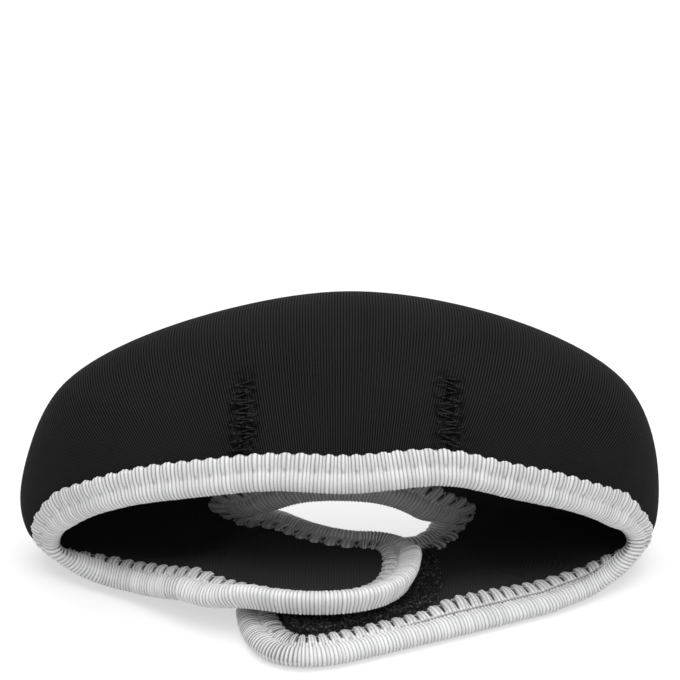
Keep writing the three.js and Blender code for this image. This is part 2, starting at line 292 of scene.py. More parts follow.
# %% [markdown]
# ## The shape of the sheet
# The CAD model lofts the dome through nine cross-sections, from one tab root over the crown to the
# other. Each cross-section is a cubic curve from the mouth edge to the hole edge. A mesh shaped by
# eye would drift away from the solids. The cloth starts where they are, so the same cross-sections
# are written here again.

# %% Sizes of the sheet
SHEET = 3.0
HALF_SHEET = SHEET / 2
HALF_TAPE = 2.95
MOUTH_HALF, MOUTH_FOLD, MOUTH_CREST = 73.0, (55.0, 11.0), (33.0, 37.5)
HOLE_HALF, HOLE_FOLD, HOLE_CREST = 28.0, (76.0, 12.0), (67.0, 19.0)
CROWN_HEIGHT, CROWN_FRONT, CROWN_BACK = 70.0, 42.0, 112.0
RIGHT_TAB_HEIGHT = HALF_TAPE
LEFT_TAB_HEIGHT = 9.3
LEFT_ROOT = np.array([[-38.0, 33.0, LEFT_TAB_HEIGHT], [-14.0, 70.0, LEFT_TAB_HEIGHT]])
RIGHT_ROOT = np.array([[52.0, 38.0, RIGHT_TAB_HEIGHT], [20.0, 69.0, RIGHT_TAB_HEIGHT]])

hinges = {joint["name"]: np.array(joint["pos_m"]) / MM for joint in frame["joints"]}
SHIFT = hinges["left_tab_lift"] - LEFT_ROOT.mean(axis=0) - (0, 0, HALF_TAPE)
print("from the sewing frame to the row frame:", SHIFT.round(3))

# %% Cross-sections
ARCH_POWER = 3
FOLD_HEIGHT, FOLD_FRONT, FOLD_BACK = 9.0, (16.0, 18.0), (34.0, 15.0)
SHOULDER_HALF, SHOULDER_HEIGHT, SHOULDER_SHARE = 82.5, 48.0, 0.69
SHOULDER_FRONT, SHOULDER_BACK, SHOULDER_NARROWING = 7.0, 100.0, 10.0
LOW_EDGE = (46.5, HALF_TAPE + 1.7)
LOW_HEIGHT, LOW_RUN = 2.1, 12.0
LEFT_LOW = {
    "side": -1, "front_inset": 18.0, "back_inset": 7.0, "back_edge": (75.5, LEFT_TAB_HEIGHT),
    "spread": 4.0, "depth": 78.0,
}
RIGHT_LOW = {
    "side": 1, "front_inset": 9.0, "back_inset": 4.0, "back_edge": (74.0, HALF_TAPE + 1.5),
    "spread": 14.0, "depth": 79.0,
}


def pull(height, front, back):
    # A cubic whose two inner points are as high as the result is as high as height half way.
    return (8 * height - front - back) / 6


def arch(share, half, fold, crest):
    rise = 1 - abs(share) ** ARCH_POWER
    depth = fold[0] + (crest[0] - fold[0]) * rise
    return np.array([share * half, depth, fold[1] + (crest[1] - fold[1]) * rise])


def straight(root):
    return [root[0] + (root[1] - root[0]) * k / 3 for k in range(4)]


def lower_wall(side, front_inset, back_inset, back_edge, spread, depth):
    front_x = side * (MOUTH_HALF - front_inset)
    low = pull(LOW_HEIGHT, LOW_EDGE[1], back_edge[1])
    return [
        (front_x, *LOW_EDGE),
        (front_x, LOW_EDGE[0] + LOW_RUN, low),
        (side * (HOLE_HALF + spread), depth, low),
        (side * (HOLE_HALF - back_inset), *back_edge),
    ]


def fold(side):
    low = pull(FOLD_HEIGHT, MOUTH_FOLD[1], HOLE_FOLD[1])
    return [
        (side * MOUTH_HALF, *MOUTH_FOLD),
        (side * (MOUTH_HALF + FOLD_FRONT[0]), MOUTH_FOLD[0] + FOLD_FRONT[1], low),
        (side * (HOLE_HALF + FOLD_BACK[0]), HOLE_FOLD[0] + FOLD_BACK[1], low),
        (side * HOLE_HALF, *HOLE_FOLD),
    ]


def shoulder(side):
    front = arch(side * SHOULDER_SHARE, MOUTH_HALF, MOUTH_FOLD, MOUTH_CREST)
    back = arch(side * SHOULDER_SHARE, HOLE_HALF, HOLE_FOLD, HOLE_CREST)
    high = pull(SHOULDER_HEIGHT, front[2], back[2])
    return [
        front,
        (side * SHOULDER_HALF, front[1] + SHOULDER_FRONT, high),
        (side * (SHOULDER_HALF - SHOULDER_NARROWING), SHOULDER_BACK, high),
        back,
    ]


crest_pull = pull(CROWN_HEIGHT, MOUTH_CREST[1], HOLE_CREST[1])
crest = [(0, *MOUTH_CREST), (0, CROWN_FRONT, crest_pull), (0, CROWN_BACK, crest_pull), (0, *HOLE_CREST)]
stations = [
    straight(LEFT_ROOT), lower_wall(**LEFT_LOW), fold(-1), shoulder(-1), crest,
    shoulder(1), fold(1), lower_wall(**RIGHT_LOW), straight(RIGHT_ROOT),
]
STATIONS = np.array([[tuple(point) for point in station] for station in stations], float)
print("cross-sections:", len(STATIONS))

# %% Smooth curve through the cross-sections
CREST_PLACE = 0.5


def rails_at(u):
    before, after = 2 * STATIONS[:1] - STATIONS[1:2], 2 * STATIONS[-1:] - STATIONS[-2:-1]
    ends = np.concatenate([before, STATIONS, after])
    place = np.asarray(u, float) * (len(STATIONS) - 1)
    first = np.minimum(place.astype(int), len(STATIONS) - 2)
    w = (place - first)[:, None, None]
    p0, p1, p2, p3 = (ends[first + k] for k in range(4))
    # Steps as long as the root of the distance keep the curve from overshooting where it turns.
    d0, d1, d2 = (
        np.sum((b - a) ** 2, axis=-1, keepdims=True) ** 0.25 for a, b in ((p0, p1), (p1, p2), (p2, p3))
    )
    t1 = ((p1 - p0) / d0 - (p2 - p0) / (d0 + d1) + (p2 - p1) / d1) * d1
    t2 = ((p2 - p1) / d1 - (p3 - p1) / (d1 + d2) + (p3 - p2) / d2) * d1
    return p1 + t1 * w + (3 * p2 - 3 * p1 - 2 * t1 - t2) * w**2 + (2 * p1 - 2 * p2 + t1 + t2) * w**3


def cubic(rails, t):
    a, b, c, d = (rails[:, None, k] for k in range(4))
    t = t[:, :, None]
    return a * (1 - t) ** 3 + 3 * b * t * (1 - t) ** 2 + 3 * c * t**2 * (1 - t) + d * t**3


print("rim at the crest:", rails_at([CREST_PLACE])[0, 0].round(1))

# %% [markdown]
# ## Edges that are not quite even
# Sewn elastic never lies in a perfect arch. The upper rim of the real cover is full at both sides,
# sags in the middle and rises beside the right dart, and the hole sags on both sides of its crest.
# A few soft bumps on each edge, of a few millimetres and fading out up the wall, give the same lines.
# The folds on the left are tucked in a little as well.

# %% Waves of both edges
FOLD_PLACES = (0.25, 0.75)
RIM_WAVES = [
    (-58.0, 1.9, 20.0), (-16.0, 0.9, 20.0), (-1.0, -1.1, 12.0), (27.0, 2.8, 14.0), (58.0, 1.7, 16.0),
]
HOLE_SAGS = [(0.67, -5.0, 0.08), (0.36, -3.0, 0.06), (0.75, -2.5, 0.04)]
LOW_WAVES = [(0.105, 0.8, 0.04), (0.25, -1.4, 0.035)]
RIM_FADE, HOLE_FADE, LOW_FADE = 0.45, 0.6, 0.35
RIM_LAST, RIM_SOFT = 0.27, 0.05
MOUTH_TUCK, MOUTH_TUCK_FADE = 2.3, 0.3
HOLE_TUCK, TUCK_WIDTH = 2.5, 0.055


def ease(value):
    value = np.clip(value, 0, 1)
    return value**2 * (3 - 2 * value)


def bell(value, width, power=2):
    return np.exp(-((value / width) ** power))


def bumps(value, waves):
    return sum(height * bell(value - place, width) for place, height, width in waves)


def fading(value, reach):
    return np.clip(1 - value / reach, 0, 1) ** 2


def near_hole(share):
    return np.clip((share - HOLE_FADE) / (1 - HOLE_FADE), 0, 1) ** 2


def edge_waves(x, share, u):
    upper = np.clip((RIM_LAST - np.abs(u - CREST_PLACE)) / RIM_SOFT, 0, 1)[:, None]
    rim = bumps(x, RIM_WAVES) * upper * fading(share, RIM_FADE)
    sag = bumps(u, HOLE_SAGS)[:, None] * near_hole(share)
    return rim + sag + bumps(u, LOW_WAVES)[:, None] * fading(share, LOW_FADE)


def tuck(share, u):
    depth = MOUTH_TUCK * fading(share, MOUTH_TUCK_FADE) + HOLE_TUCK * near_hole(share)
    return bell(u - FOLD_PLACES[0], TUCK_WIDTH)[:, None] * depth


print("bumps on the rim and the hole:", len(RIM_WAVES), len(HOLE_SAGS))

# %% [markdown]
# ## An edge that curls
# Along the lower edges the elastic has drawn the sheet into a curl: the roll lies low, the sewn part
# stands up behind it and faces the viewer, and further in the sheet sinks back. The curl depends on
# the distance from the edge, so one function serves both walls and both tabs. It is strongest on the
# right next to the left tab's tip, and on the left it dies away a little way past the tab's root, where
# the edge also sags.

# %% Height of the curl
SEWN_EDGE = 7.0
CURL_PEAK, CURL_TAIL = 9.0, 16.0
RIGHT_CURL, RIGHT_START, RIGHT_SOFT, RIGHT_LEAST = 1.2, 0.79, 0.06, 0.5
LEFT_CURL, LEFT_END, LEFT_SOFT = 2.4, 0.21, 0.08
ROOT_CURL, ROOT_SOFT, ROOT_REACH = 0.4, 0.1, 11.0
ROOT_SAG, SAG_SHARE, SAG_REACH, SAG_WIDTH = 0.5, 0.06, 11.0, 10.0
DROOP, DROOP_WIDTH = 0.5, 5.0


def curl(distance):
    return ease(distance / CURL_PEAK) * (1 - ease((distance - CURL_PEAK) / CURL_TAIL))


def droop(distance):
    return -DROOP * (1 - ease(distance / DROOP_WIDTH))


def root_sag(distance):
    return -ROOT_SAG * (1 - ease(distance / SAG_WIDTH))


def wall_curl(u, distance):
    on_right = ease((u - RIGHT_START) / RIGHT_SOFT)
    swelling = RIGHT_LEAST + (1 - RIGHT_LEAST) * (u - RIGHT_START) / (1 - RIGHT_START)
    from_root = ROOT_CURL + (1 - ROOT_CURL) * ease(u / ROOT_SOFT)
    on_left = LEFT_CURL * ease((LEFT_END - u) / LEFT_SOFT) * from_root
    height = (on_right * swelling * RIGHT_CURL + on_left)[:, None] * curl(distance)
    sag = bell(u, SAG_SHARE)[:, None] * root_sag(distance)
    return height + on_right[:, None] * droop(distance) + sag


print("share of the curl at the sewn edge:", round(float(curl(SEWN_EDGE)), 2))

# %% Points of the wall at set distances from an edge
PROFILE_STEPS = 160


def track_of(points):
    steps = np.linalg.norm(np.diff(points, axis=-2), axis=-1)
    return np.concatenate([np.zeros(steps.shape[:-1] + (1,)), np.cumsum(steps, axis=-1)], axis=-1)


def wall(u, shares=None, distances=None, from_hole=False):
    rails = rails_at(u)
    fine = np.linspace(0, 1, PROFILE_STEPS + 1)
    travelled = track_of(cubic(rails, np.tile(fine, (len(rails), 1))))
    lengths = travelled[:, -1]
    if shares is not None:
        wanted = lengths[:, None] * shares
    elif from_hole:
        wanted = lengths[:, None] - distances
    else:
        wanted = np.broadcast_to(distances, (len(rails), distances.shape[-1]))
    t = np.array([np.interp(row, track, fine) for row, track in zip(wanted, travelled)])
    points = cubic(rails, t)
    points[..., 2] += edge_waves(points[..., 0], wanted / lengths[:, None], u)
    points[..., 0] += tuck(wanted / lengths[:, None], u)
    points[..., 2] += wall_curl(u, wanted)
    return points, wanted, lengths


crest_length = wall(np.array([CREST_PLACE]), shares=np.array([0.0]))[2][0]
print("from the rim to the hole over the crest:", round(crest_length, 1), "mm")

# %% [markdown]
# ## Outline of the tabs
# Each tab runs from its root to a free end with two rounded corners, and the front corner starts in
# the direction in which the front edge ends. Cutting that outline from a flat grid would leave slivers
# along the edge. Instead the front and back edges are followed separately to the middle of the end.
# Straight lines between them then cover the tab, and they join the last cross-section of the wall
# without a break.

# %% Front and back edges of a tab
LEFT_TAB = {
    "reach": 18.0, "front": 20.0, "front_corner": 24.0, "front_bow": 5.8,
    "back": 59.0, "back_corner": 13.0,
}
RIGHT_TAB = {
    "reach": -23.5, "front": 13.5, "front_corner": 27.0, "front_bow": 0.5,
    "back": 66.0, "back_corner": 16.0,
}
EDGE_STEPS = 40
FRONT_SWING, BACK_SWING, BACK_BOW = 0.55, 0.5, 0.1


def quadratic(start, middle, end):
    t = np.linspace(0, 1, EDGE_STEPS + 1)[:, None]
    return (1 - t) ** 2 * np.array(start) + 2 * t * (1 - t) * np.array(middle) + t**2 * np.array(end)


def tab_sides(root, reach, front, front_corner, front_bow, back, back_corner):
    heading = np.sign(reach - root[:, 0].mean())
    end_middle = np.array([reach, (front + front_corner + back - back_corner) / 2])
    front_start, back_start = root[:, :2]
    front_end = np.array([reach - heading * front_corner, front])
    back_end = np.array([reach - heading * back_corner, back])
    front_guide = front_start + (front_end - front_start) * FRONT_SWING - (0, front_bow)
    back_guide = back_start + (back_end - back_start) * (BACK_SWING, 1 - BACK_BOW)
    slope = (front_end[1] - front_guide[1]) / (front_end[0] - front_guide[0])
    front_turn = (reach, front + slope * heading * front_corner)
    sides = []
    for start, guide, end, turn, stop in (
        (front_start, front_guide, front_end, front_turn, (reach, front + front_corner)),
        (back_start, back_guide, back_end, (reach, back), (reach, back - back_corner)),
    ):
        side, corner = quadratic(start, guide, end), quadratic(end, turn, stop)
        sides.append(np.vstack([side, corner[1:], [end_middle]]))
    return sides


LEFT_SIDES = tab_sides(LEFT_ROOT, **LEFT_TAB)
RIGHT_SIDES = tab_sides(RIGHT_ROOT, **RIGHT_TAB)
print("points along the tab edges:", len(LEFT_SIDES[0]), len(RIGHT_SIDES[0]))

# %% [markdown]
# ## A lip on the left tab
# The stretched tape draws the free front of the left tab up into a lip, so that its roll hides the
# seam behind it. The lip is highest at the edge and gone under the patch, and it dies away towards
# the root.

# %% Height of the lip
LIP_HEIGHT, LIP_WIDTH = 3.0, 8.5
LIP_START, LIP_FULL = 5.0, 21.0


def unit(vectors):
    return vectors / np.linalg.norm(vectors, axis=-1, keepdims=True)


def past_root(plan, root):
    along_root = unit(root[1] - root[0])
    return (plan - root[:, :2].mean(axis=0)) @ np.array([along_root[1], -along_root[0]])


def from_edge(plan, line):
    steps = np.diff(line, axis=0)
    gaps = plan[..., None, :] - line[:-1]
    share = np.clip((gaps * steps).sum(axis=-1) / (steps**2).sum(axis=-1), 0, 1)
    return np.linalg.norm(gaps - share[..., None] * steps, axis=-1).min(axis=-1)


def lip(plan):
    rise = LIP_HEIGHT * fading(from_edge(plan, LEFT_SIDES[0]), LIP_WIDTH)
    return rise * ease((past_root(plan, LEFT_ROOT) - LIP_START) / (LIP_FULL - LIP_START))


print("lip where the corner starts:", round(float(lip(LEFT_SIDES[0][EDGE_STEPS])), 2), "mm")

# %% Heights and outward directions on the tabs
TAB_CURL, CURL_FROM, CURL_FULL = 2.7, 19.0, 28.0
CURL_EASE, CURL_ROOT = 30.0, 52.0
ROOT_SKEW, SKEW_REACH = 0.055, 10.0
SLOPE_STEP = 0.3


def tab_height(plan, root):
    if root is LEFT_ROOT:
        past, distance = past_root(plan, root), from_edge(plan, LEFT_SIDES[0])
        bent = LEFT_CURL * ROOT_CURL * (1 - ease(past / ROOT_REACH)) * curl(distance)
        return LEFT_TAB_HEIGHT + lip(plan) + bent + bell(past, SAG_REACH) * root_sag(distance)
    skew = ROOT_SKEW * (1 - ease(-past_root(plan, root) / SKEW_REACH))
    distance = from_edge(plan, RIGHT_SIDES[0]) * (1 + skew)
    clear_of_left = ease((plan[..., 0] - CURL_FROM) / (CURL_FULL - CURL_FROM))
    toward_root = ease((plan[..., 0] - CURL_EASE) / (CURL_ROOT - CURL_EASE))
    height = TAB_CURL + (RIGHT_CURL - TAB_CURL) * toward_root
    return RIGHT_TAB_HEIGHT + clear_of_left * height * curl(distance) + droop(distance)


def on_tab(plan, root):
    return np.concatenate([plan, tab_height(plan, root)[..., None]], axis=2)


def tab_outward(plan, root):
    slopes = [
        (tab_height(plan + step, root) - tab_height(plan - step, root)) / (2 * SLOPE_STEP)
        for step in (np.array([SLOPE_STEP, 0]), np.array([0, SLOPE_STEP]))
    ]
    return unit(np.stack([*slopes, -np.ones(plan.shape[:-1])], axis=-1))


corner_height = tab_height(LEFT_SIDES[0][EDGE_STEPS], LEFT_ROOT)
print("left tab where the corner starts:", round(float(corner_height), 2), "mm high")

# %% Columns of points across the whole sheet
WALL_COLUMNS = 440
ROWS = 84
TAB_COLUMNS = 60
TAB_END = 0.97

row_shares = np.linspace(0, 1, ROWS)
wall_u = np.linspace(0, 1, WALL_COLUMNS + 1)
wall_points, wall_heights, _ = wall(wall_u, shares=row_shares)


def walk(line, shares):
    track = track_of(line)
    return np.stack([np.interp(shares * track[-1], track, axis) for axis in line.T], axis=1)


def tab_columns(sides, root):
    shares = np.linspace(0, TAB_END, TAB_COLUMNS + 1)[1:]
    front, back = (walk(side, shares) for side in sides)
    return on_tab(front[:, None] + (back - front)[:, None] * row_shares[None, :, None], root)


left_points = tab_columns(LEFT_SIDES, LEFT_ROOT)[::-1]
right_points = tab_columns(RIGHT_SIDES, RIGHT_ROOT)
middle = np.concatenate([left_points, wall_points, right_points])
print("columns and rows of the sheet:", middle.shape[:2])

# %% Outward directions
COLUMN_SMOOTHING = 3

outward = unit(np.cross(np.gradient(middle, axis=0), np.gradient(middle, axis=1)))
outward[:TAB_COLUMNS] = tab_outward(left_points[..., :2], LEFT_ROOT)
outward[-TAB_COLUMNS:] = tab_outward(right_points[..., :2], RIGHT_ROOT)
for _ in range(COLUMN_SMOOTHING):
    outward[1:-1] = (outward[:-2] + 2 * outward[1:-1] + outward[2:]) / 4
outward = unit(outward)
print("outward at the crest:", outward[TAB_COLUMNS + WALL_COLUMNS // 2, ROWS // 2].round(2))

# %% [markdown]
# ## Where the knit runs
# The wales of the knit run from the rim to the back. An automatic unwrap would turn and stretch them
# in its own way on each piece. Distances along the wall and up the wall make a map in millimetres
# for the whole cloth instead. On the tabs, which lie flat, the map is simply the plan, and the lower
# walls pass smoothly from one map to the other.

# %% Map of the cloth
MAP_ROW, MAP_MATCH = 0.3, 0.1
PLAN_START, PLAN_END = 0.17, 0.02

map_line, _, _ = wall(wall_u, shares=np.array([MAP_ROW]))
along_wall = track_of(map_line[:, 0])
wall_map = np.stack([np.tile(along_wall[:, None], (1, ROWS)), wall_heights], axis=2)
plan_map = np.stack([-middle[..., 0], middle[..., 1]], axis=2)
cloth_map = plan_map.copy()
inner = slice(TAB_COLUMNS, TAB_COLUMNS + WALL_COLUMNS + 1)
edge_share = np.minimum(wall_u, 1 - wall_u)
plan_weight = ease((PLAN_START - edge_share) / (PLAN_START - PLAN_END))[:, None, None]
on_left_half = wall_u <= CREST_PLACE
for half, tab in ((on_left_half, slice(0, TAB_COLUMNS)), (~on_left_half, slice(-TAB_COLUMNS, None))):
    spot = np.argmin(np.where(half, np.abs(edge_share - MAP_MATCH), np.inf))
    gap = wall_map[spot, ROWS // 2] - plan_map[TAB_COLUMNS + spot, ROWS // 2]
    plan_map[inner][half] += gap
    cloth_map[tab] += gap
cloth_map[inner] = wall_map + (plan_map[inner] - wall_map) * plan_weight
print("length of the wall along the map:", round(along_wall[-1], 1), "mm")

# %% [markdown]
# ## Cloth that is a little slack
# A dart is sewn shut on each side of the crown, and the sheet dips along it. The crown leans a little
# to the right and is fuller above its left fold, the sheet is creased where the left tab bends, and
# the rest is not quite even either. A cloth simulation finds such forms, but not the ones that this
# cover happens to have. So they are small moves along the outward direction, made on the points
# before the mesh exists, and the cloth keeps one unbroken surface.

# %% Dips and unevenness
DART_X = {"left": -22.9, "right": 25.8}
DART_START, DART_LENGTH, DART_WIDTH = 8.6, 17.0, 5.4
DART_DIP, DART_SPREAD, DART_PAST, DART_SOFT = 0.6, 3.0, 1.0, 1.2
PUCKER_WIDTH, PUCKER_POWER = 3.6, 6
SLACK, SLACK_RISE = 0.35, 0.12
SLACK_WAVES = [(17.0, 29.0, 0.0), (31.0, -13.0, 1.3)]
LEAN_LEFT, LEAN_RIGHT = 1.0, 1.4
SIDE_BULGES = [(0.285, 0.9, 0.03)]
CREASE, CREASE_WIDTH, CREASE_REACH = 0.6, 1.3, 0.1

map_u, map_v = wall_map[..., 0], wall_map[..., 1]
swell = np.sin(math.pi * row_shares)[None, :]
waves = sum(np.sin(map_u / along + map_v / up + phase) for along, up, phase in SLACK_WAVES)
uneven = SLACK * waves / len(SLACK_WAVES) * np.clip(edge_share / SLACK_RISE, 0, 1)[:, None]
slack = np.zeros(middle.shape[:2])
pucker_shade = np.zeros(middle.shape[:2])
slack[inner] = (uneven + bumps(wall_u, SIDE_BULGES)[:, None]) * swell
upper_half = (wall_u > FOLD_PLACES[0]) & (wall_u < FOLD_PLACES[1])
from_crest = wall_u - CREST_PLACE
lean = np.where(from_crest < 0, LEAN_LEFT, LEAN_RIGHT) * np.sin(4 * math.pi * from_crest)
slack[inner][upper_half] += lean[upper_half, None] * swell
dart_ends = 1 / (1 + np.exp((map_v - DART_START - DART_LENGTH - DART_PAST) / DART_SOFT))
for x in DART_X.values():
    beside = wall_points[..., 0] - x
    slack[inner][upper_half] -= (DART_DIP * bell(beside, DART_SPREAD) * dart_ends)[upper_half]
    pucker_shade[inner][upper_half] += (bell(beside, PUCKER_WIDTH, PUCKER_POWER) * dart_ends)[upper_half]
near_root = slice(0, TAB_COLUMNS + int(CREASE_REACH * WALL_COLUMNS))
slack[near_root] += CREASE * bell(past_root(middle[near_root, :, :2], LEFT_ROOT), CREASE_WIDTH)
middle_soft = middle + outward * slack[..., None]
print("moves from", round(float(slack.min()), 2), "to", round(float(slack.max()), 2), "mm")

# %% [markdown]
# ## Lofted meshes
# The sheet and the tape are both rings of points joined one after the other. One function makes
# such a mesh. It also takes the normals that the whole loop has, so that a piece cut from the loop
# shades as if it had never been cut.

# %% Make a mesh from rings
TINY = 1e-12


def facing(ahead, around):
    normals = np.cross(ahead, around)
    return normals / np.maximum(np.linalg.norm(normals, axis=2, keepdims=True), TINY)


def fill_layer(mesh, label, values):
    vectors = values.ndim == 2
    layer = mesh.attributes.new(label, "FLOAT_VECTOR" if vectors else "FLOAT", "POINT")
    layer.data.foreach_set("vector" if vectors else "value", values.astype(np.float32).ravel())


def loft(name, rings, normals, flat_map, map_name, cap, finishes, slots=None):
    count, around = rings.shape[:2]
    index = np.arange(count * around).reshape(count, around)
    beside = np.roll(index, -1, axis=1)
    quads = np.stack([index[:-1], index[1:], beside[1:], beside[:-1]], axis=-1).reshape(-1, 4)
    caps = [tuple(face) for face in cap] + [tuple(index[-1, 0] + k for k in face[::-1]) for face in cap]
    mesh = bpy.data.meshes.new(name)
    mesh.from_pydata((rings.reshape(-1, 3) + SHIFT) * MM, [], [tuple(q) for q in quads] + caps)
    uv = mesh.uv_layers.new(name=map_name)
    corners = np.empty(len(mesh.loops), np.int32)
    mesh.loops.foreach_get("vertex_index", corners)
    uv.data.foreach_set("uv", flat_map.reshape(-1, 2)[corners].astype(np.float32).ravel())
    for finish in finishes:
        mesh.materials.append(finish)
    if slots is not None:
        kinds = np.concatenate([np.tile(slots, count - 1), np.full(len(caps), len(finishes) - 1)])
        mesh.polygons.foreach_set("material_index", kinds.astype(np.int32))
    mesh.shade_smooth()
    mesh.normals_split_custom_set_from_vertices(normals.reshape(-1, 3).tolist())
    print(f"{name}: {len(mesh.polygons)} faces")
    return add_object(name, mesh)


# %% [markdown]
# ## Which body carries a piece
# The wall belongs to the crown, and each tab to its own body. Where a tab swings, the cloth bends
# over a few millimetres on both sides of the root. The sheet is therefore cut a little way into the
# wall, where it still belongs wholly to the crown. A crown piece is attached to the crown; a tab's
# piece is only fixed in place, and the lines on both sides of its root are worked out and printed.

# %% Bend lines at the tab roots
CUT_SHARE = 0.125
BEND_BEFORE, BEND_AFTER = 4.5, 4.0


def bend_line(root, side):
    along_root = unit(root[1] - root[0])
    away = np.array([along_root[1] * side, -along_root[0] * side, 0])
    centre = (root[0] + root[1]) / 2 + SHIFT
    return (centre - away * BEND_BEFORE) * MM, (centre + away * BEND_AFTER) * MM


BENDS = {"left_tab": bend_line(LEFT_ROOT, 1), "right_tab": bend_line(RIGHT_ROOT, -1)}


def carry(piece, body):
    if body in BENDS:
        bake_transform(piece)
    else:
        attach(piece, body)


print("bends:", {body: np.round(line[0] / MM, 1).tolist() for body, line in BENDS.items()})

# %% [markdown]
# ## Knitted faces
# Both faces of the sheet are a fine jersey. Its wales are ridges 0.7 mm apart, and each ridge is
# a chain of small loops. They are finer than the mesh, so a height pattern on the cloth's own map
# draws both, and the same height darkens the gaps between the wales as painted shade. Beside the
# darts the loops are pulled flat in places, and those patches are painted dark as the shade of the
# puckers. Sheen gives the pale bloom that nylon shows at a low angle.

# %% A knit finish
WALE, COURSE, WALE_SHARE = 0.69, 0.55, 0.75
KNIT_ROUGHNESS, KNIT_POLISH, KNIT_GLOSS, KNIT_BUMP = 0.92, 0.14, 0.04, 0.8
CLOUD_SCALE, CLOUD_DETAIL, CLOUD_LEVEL, CLOUD_SHARE = 45.0, 3.0, 0.4, 0.3
PULL_SCALE, PULL_SPAN, PULL_DEPTH = 650.0, (0.42, 0.58), 0.6
SHEEN_ROUGHNESS, SHEEN_TINT = 0.45, (0.9, 0.9, 0.95, 1)


def map_axes(net, name):
    place = net.get("ShaderNodeUVMap", 0, {"uv_map": name})
    parts = net.node("ShaderNodeSeparateXYZ", None, {0: place})
    return Value(net, parts.outputs[0]), Value(net, parts.outputs[1])


def knit(name, gap, wale, depth, sheen):
    finish, net, shader = new_finish(name, KNIT_ROUGHNESS, KNIT_GLOSS)
    u, v = map_axes(net, "cloth")
    ridge = net.wave(u, WALE)
    loop = net.wave(v + ridge * (COURSE / 2), COURSE)
    # Beside the darts, patches of the knit are flattened and painted dark: painted shade of the puckers.
    puckered = net.get("ShaderNodeAttribute", "Fac", {"attribute_name": "pucker_shade"})
    pulled_and_shaded = puckered * net.ease(net.noise(PULL_SCALE), *PULL_SPAN) * PULL_DEPTH
    # The height also sets the colour: the gap colour between the wales is painted shade.
    height = (ridge * WALE_SHARE + loop * (1 - WALE_SHARE)) * (1 - pulled_and_shaded)
    cloudy = (net.noise(CLOUD_SCALE, CLOUD_DETAIL) - CLOUD_LEVEL) * CLOUD_SHARE
    net.fill(
        shader,
        {
            "Base Color": net.blend(height ** 2 + cloudy, grey(gap), grey(wale)),
            "Roughness": KNIT_ROUGHNESS - height * KNIT_POLISH,
            "Normal": net.bump(height, depth, KNIT_BUMP),
            "Sheen Weight": sheen, "Sheen Roughness": SHEEN_ROUGHNESS, "Sheen Tint": SHEEN_TINT,
        },
    )
    return finish


KNIT_FACE = knit("knit face", gap=0.0, wale=0.026, depth=0.2, sheen=0.006)
# The lining is the same black knit as the face; its lighter grey is painted light for the light seen inside
# the dome.
KNIT_LINING = knit("knit lining", gap=0.022, wale=0.034, depth=0.06, sheen=0.01)
print("finishes:", KNIT_FACE.name, KNIT_LINING.name)

# %% [markdown]
# ## The padded sheet
# Neoprene is foam between two knits, so the sheet has an outer and an inner face, 3 mm apart, that
# meet under the tape. Solidify would give one thickness all over, but where the mouth folds sharply
# at both sides the foam is squeezed thin. So every column of the sheet becomes one closed ring: up the
# outer face and back down the inner one.

# %% Rings of the sheet
SQUEEZE, SQUEEZE_WIDTH, SQUEEZE_REACH, SQUEEZE_SOFT = 0.65, 0.03, 7.0, 4.0
FLAT_COLUMNS = TAB_COLUMNS - 2

column_share = (np.arange(len(middle_soft)) - TAB_COLUMNS) / WALL_COLUMNS
at_fold = sum(bell(column_share - place, SQUEEZE_WIDTH) for place in FOLD_PLACES)
near_edge = 1 - ease((track_of(middle_soft) - SQUEEZE_REACH) / SQUEEZE_SOFT)
half_sheet = (HALF_SHEET * (1 - SQUEEZE * at_fold[:, None] * near_edge))[..., None]
outer_face = middle_soft + outward * half_sheet
inner_face = (middle_soft - outward * half_sheet)[:, ::-1]
sheet_rings = np.concatenate([outer_face, inner_face], axis=1)
sheet_map = np.concatenate([cloth_map, cloth_map[:, ::-1]], axis=1)
sheet_normals = np.concatenate(
    [facing(np.gradient(face, axis=0), np.gradient(face, axis=1)) for face in (outer_face, inner_face)],
    axis=1,
)
flat_ends = np.concatenate([outward, -outward[:, ::-1]], axis=1)
sheet_normals[:FLAT_COLUMNS] = flat_ends[:FLAT_COLUMNS]
sheet_normals[-FLAT_COLUMNS:] = flat_ends[-FLAT_COLUMNS:]
sheet_slots = np.array([0] * (ROWS - 1) + [1] * (ROWS + 1))
sheet_cap = [(k, k + 1, 2 * ROWS - 2 - k, 2 * ROWS - 1 - k) for k in range(ROWS - 1)]
print("thinnest foam:", round(2 * float(half_sheet.min()), 2), "mm")

# %% Three pieces of the sheet
left_cut = TAB_COLUMNS + int(CUT_SHARE * WALL_COLUMNS)
right_cut = TAB_COLUMNS + WALL_COLUMNS - int(CUT_SHARE * WALL_COLUMNS)
SHEET_CUTS = {
    "crown": (left_cut, right_cut),
    "left_tab": (0, left_cut),
    "right_tab": (right_cut, len(sheet_rings) - 1),
}
for body, (start, end) in SHEET_CUTS.items():
    take = slice(start, end + 1)
    piece = loft(
        f"{body}_sheet", sheet_rings[take], sheet_normals[take], sheet_map[take], "cloth",
        sheet_cap, [KNIT_FACE, KNIT_LINING], sheet_slots,
    )
    pulls = np.concatenate([pucker_shade[take], np.zeros(pucker_shade[take].shape)], axis=1)
    fill_layer(piece.data, "pucker_shade", pulls.ravel())
    carry(piece, body)
    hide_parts(f"{body}_face", f"{body}_core", f"{body}_lining")

# %% [markdown]
# ## The binding tape
# One elastic tape is folded over the edge of the sheet all the way round: along the mouth, round the
# right tab, along the hole and round the left tab. A curve with a bevel would twist where the edge
# turns, so the tape is lofted as a closed loop that follows the sheet. At each step it needs the edge
# point, the points a few millimetres into the sheet and the outward direction there.
# Along the upper rim these points are found square to the edge, as a tape lies.

# %% Stacks of points along the edge
INSETS = np.array([0, 1.3, 2.6, 3.9, 5.2, 6.5, 7.8, 9.1])
EDGE_COLUMNS = 480
ROOT_TURN = 16
SQUARE_LAST, SQUARE_SOFT = 0.235, 0.05


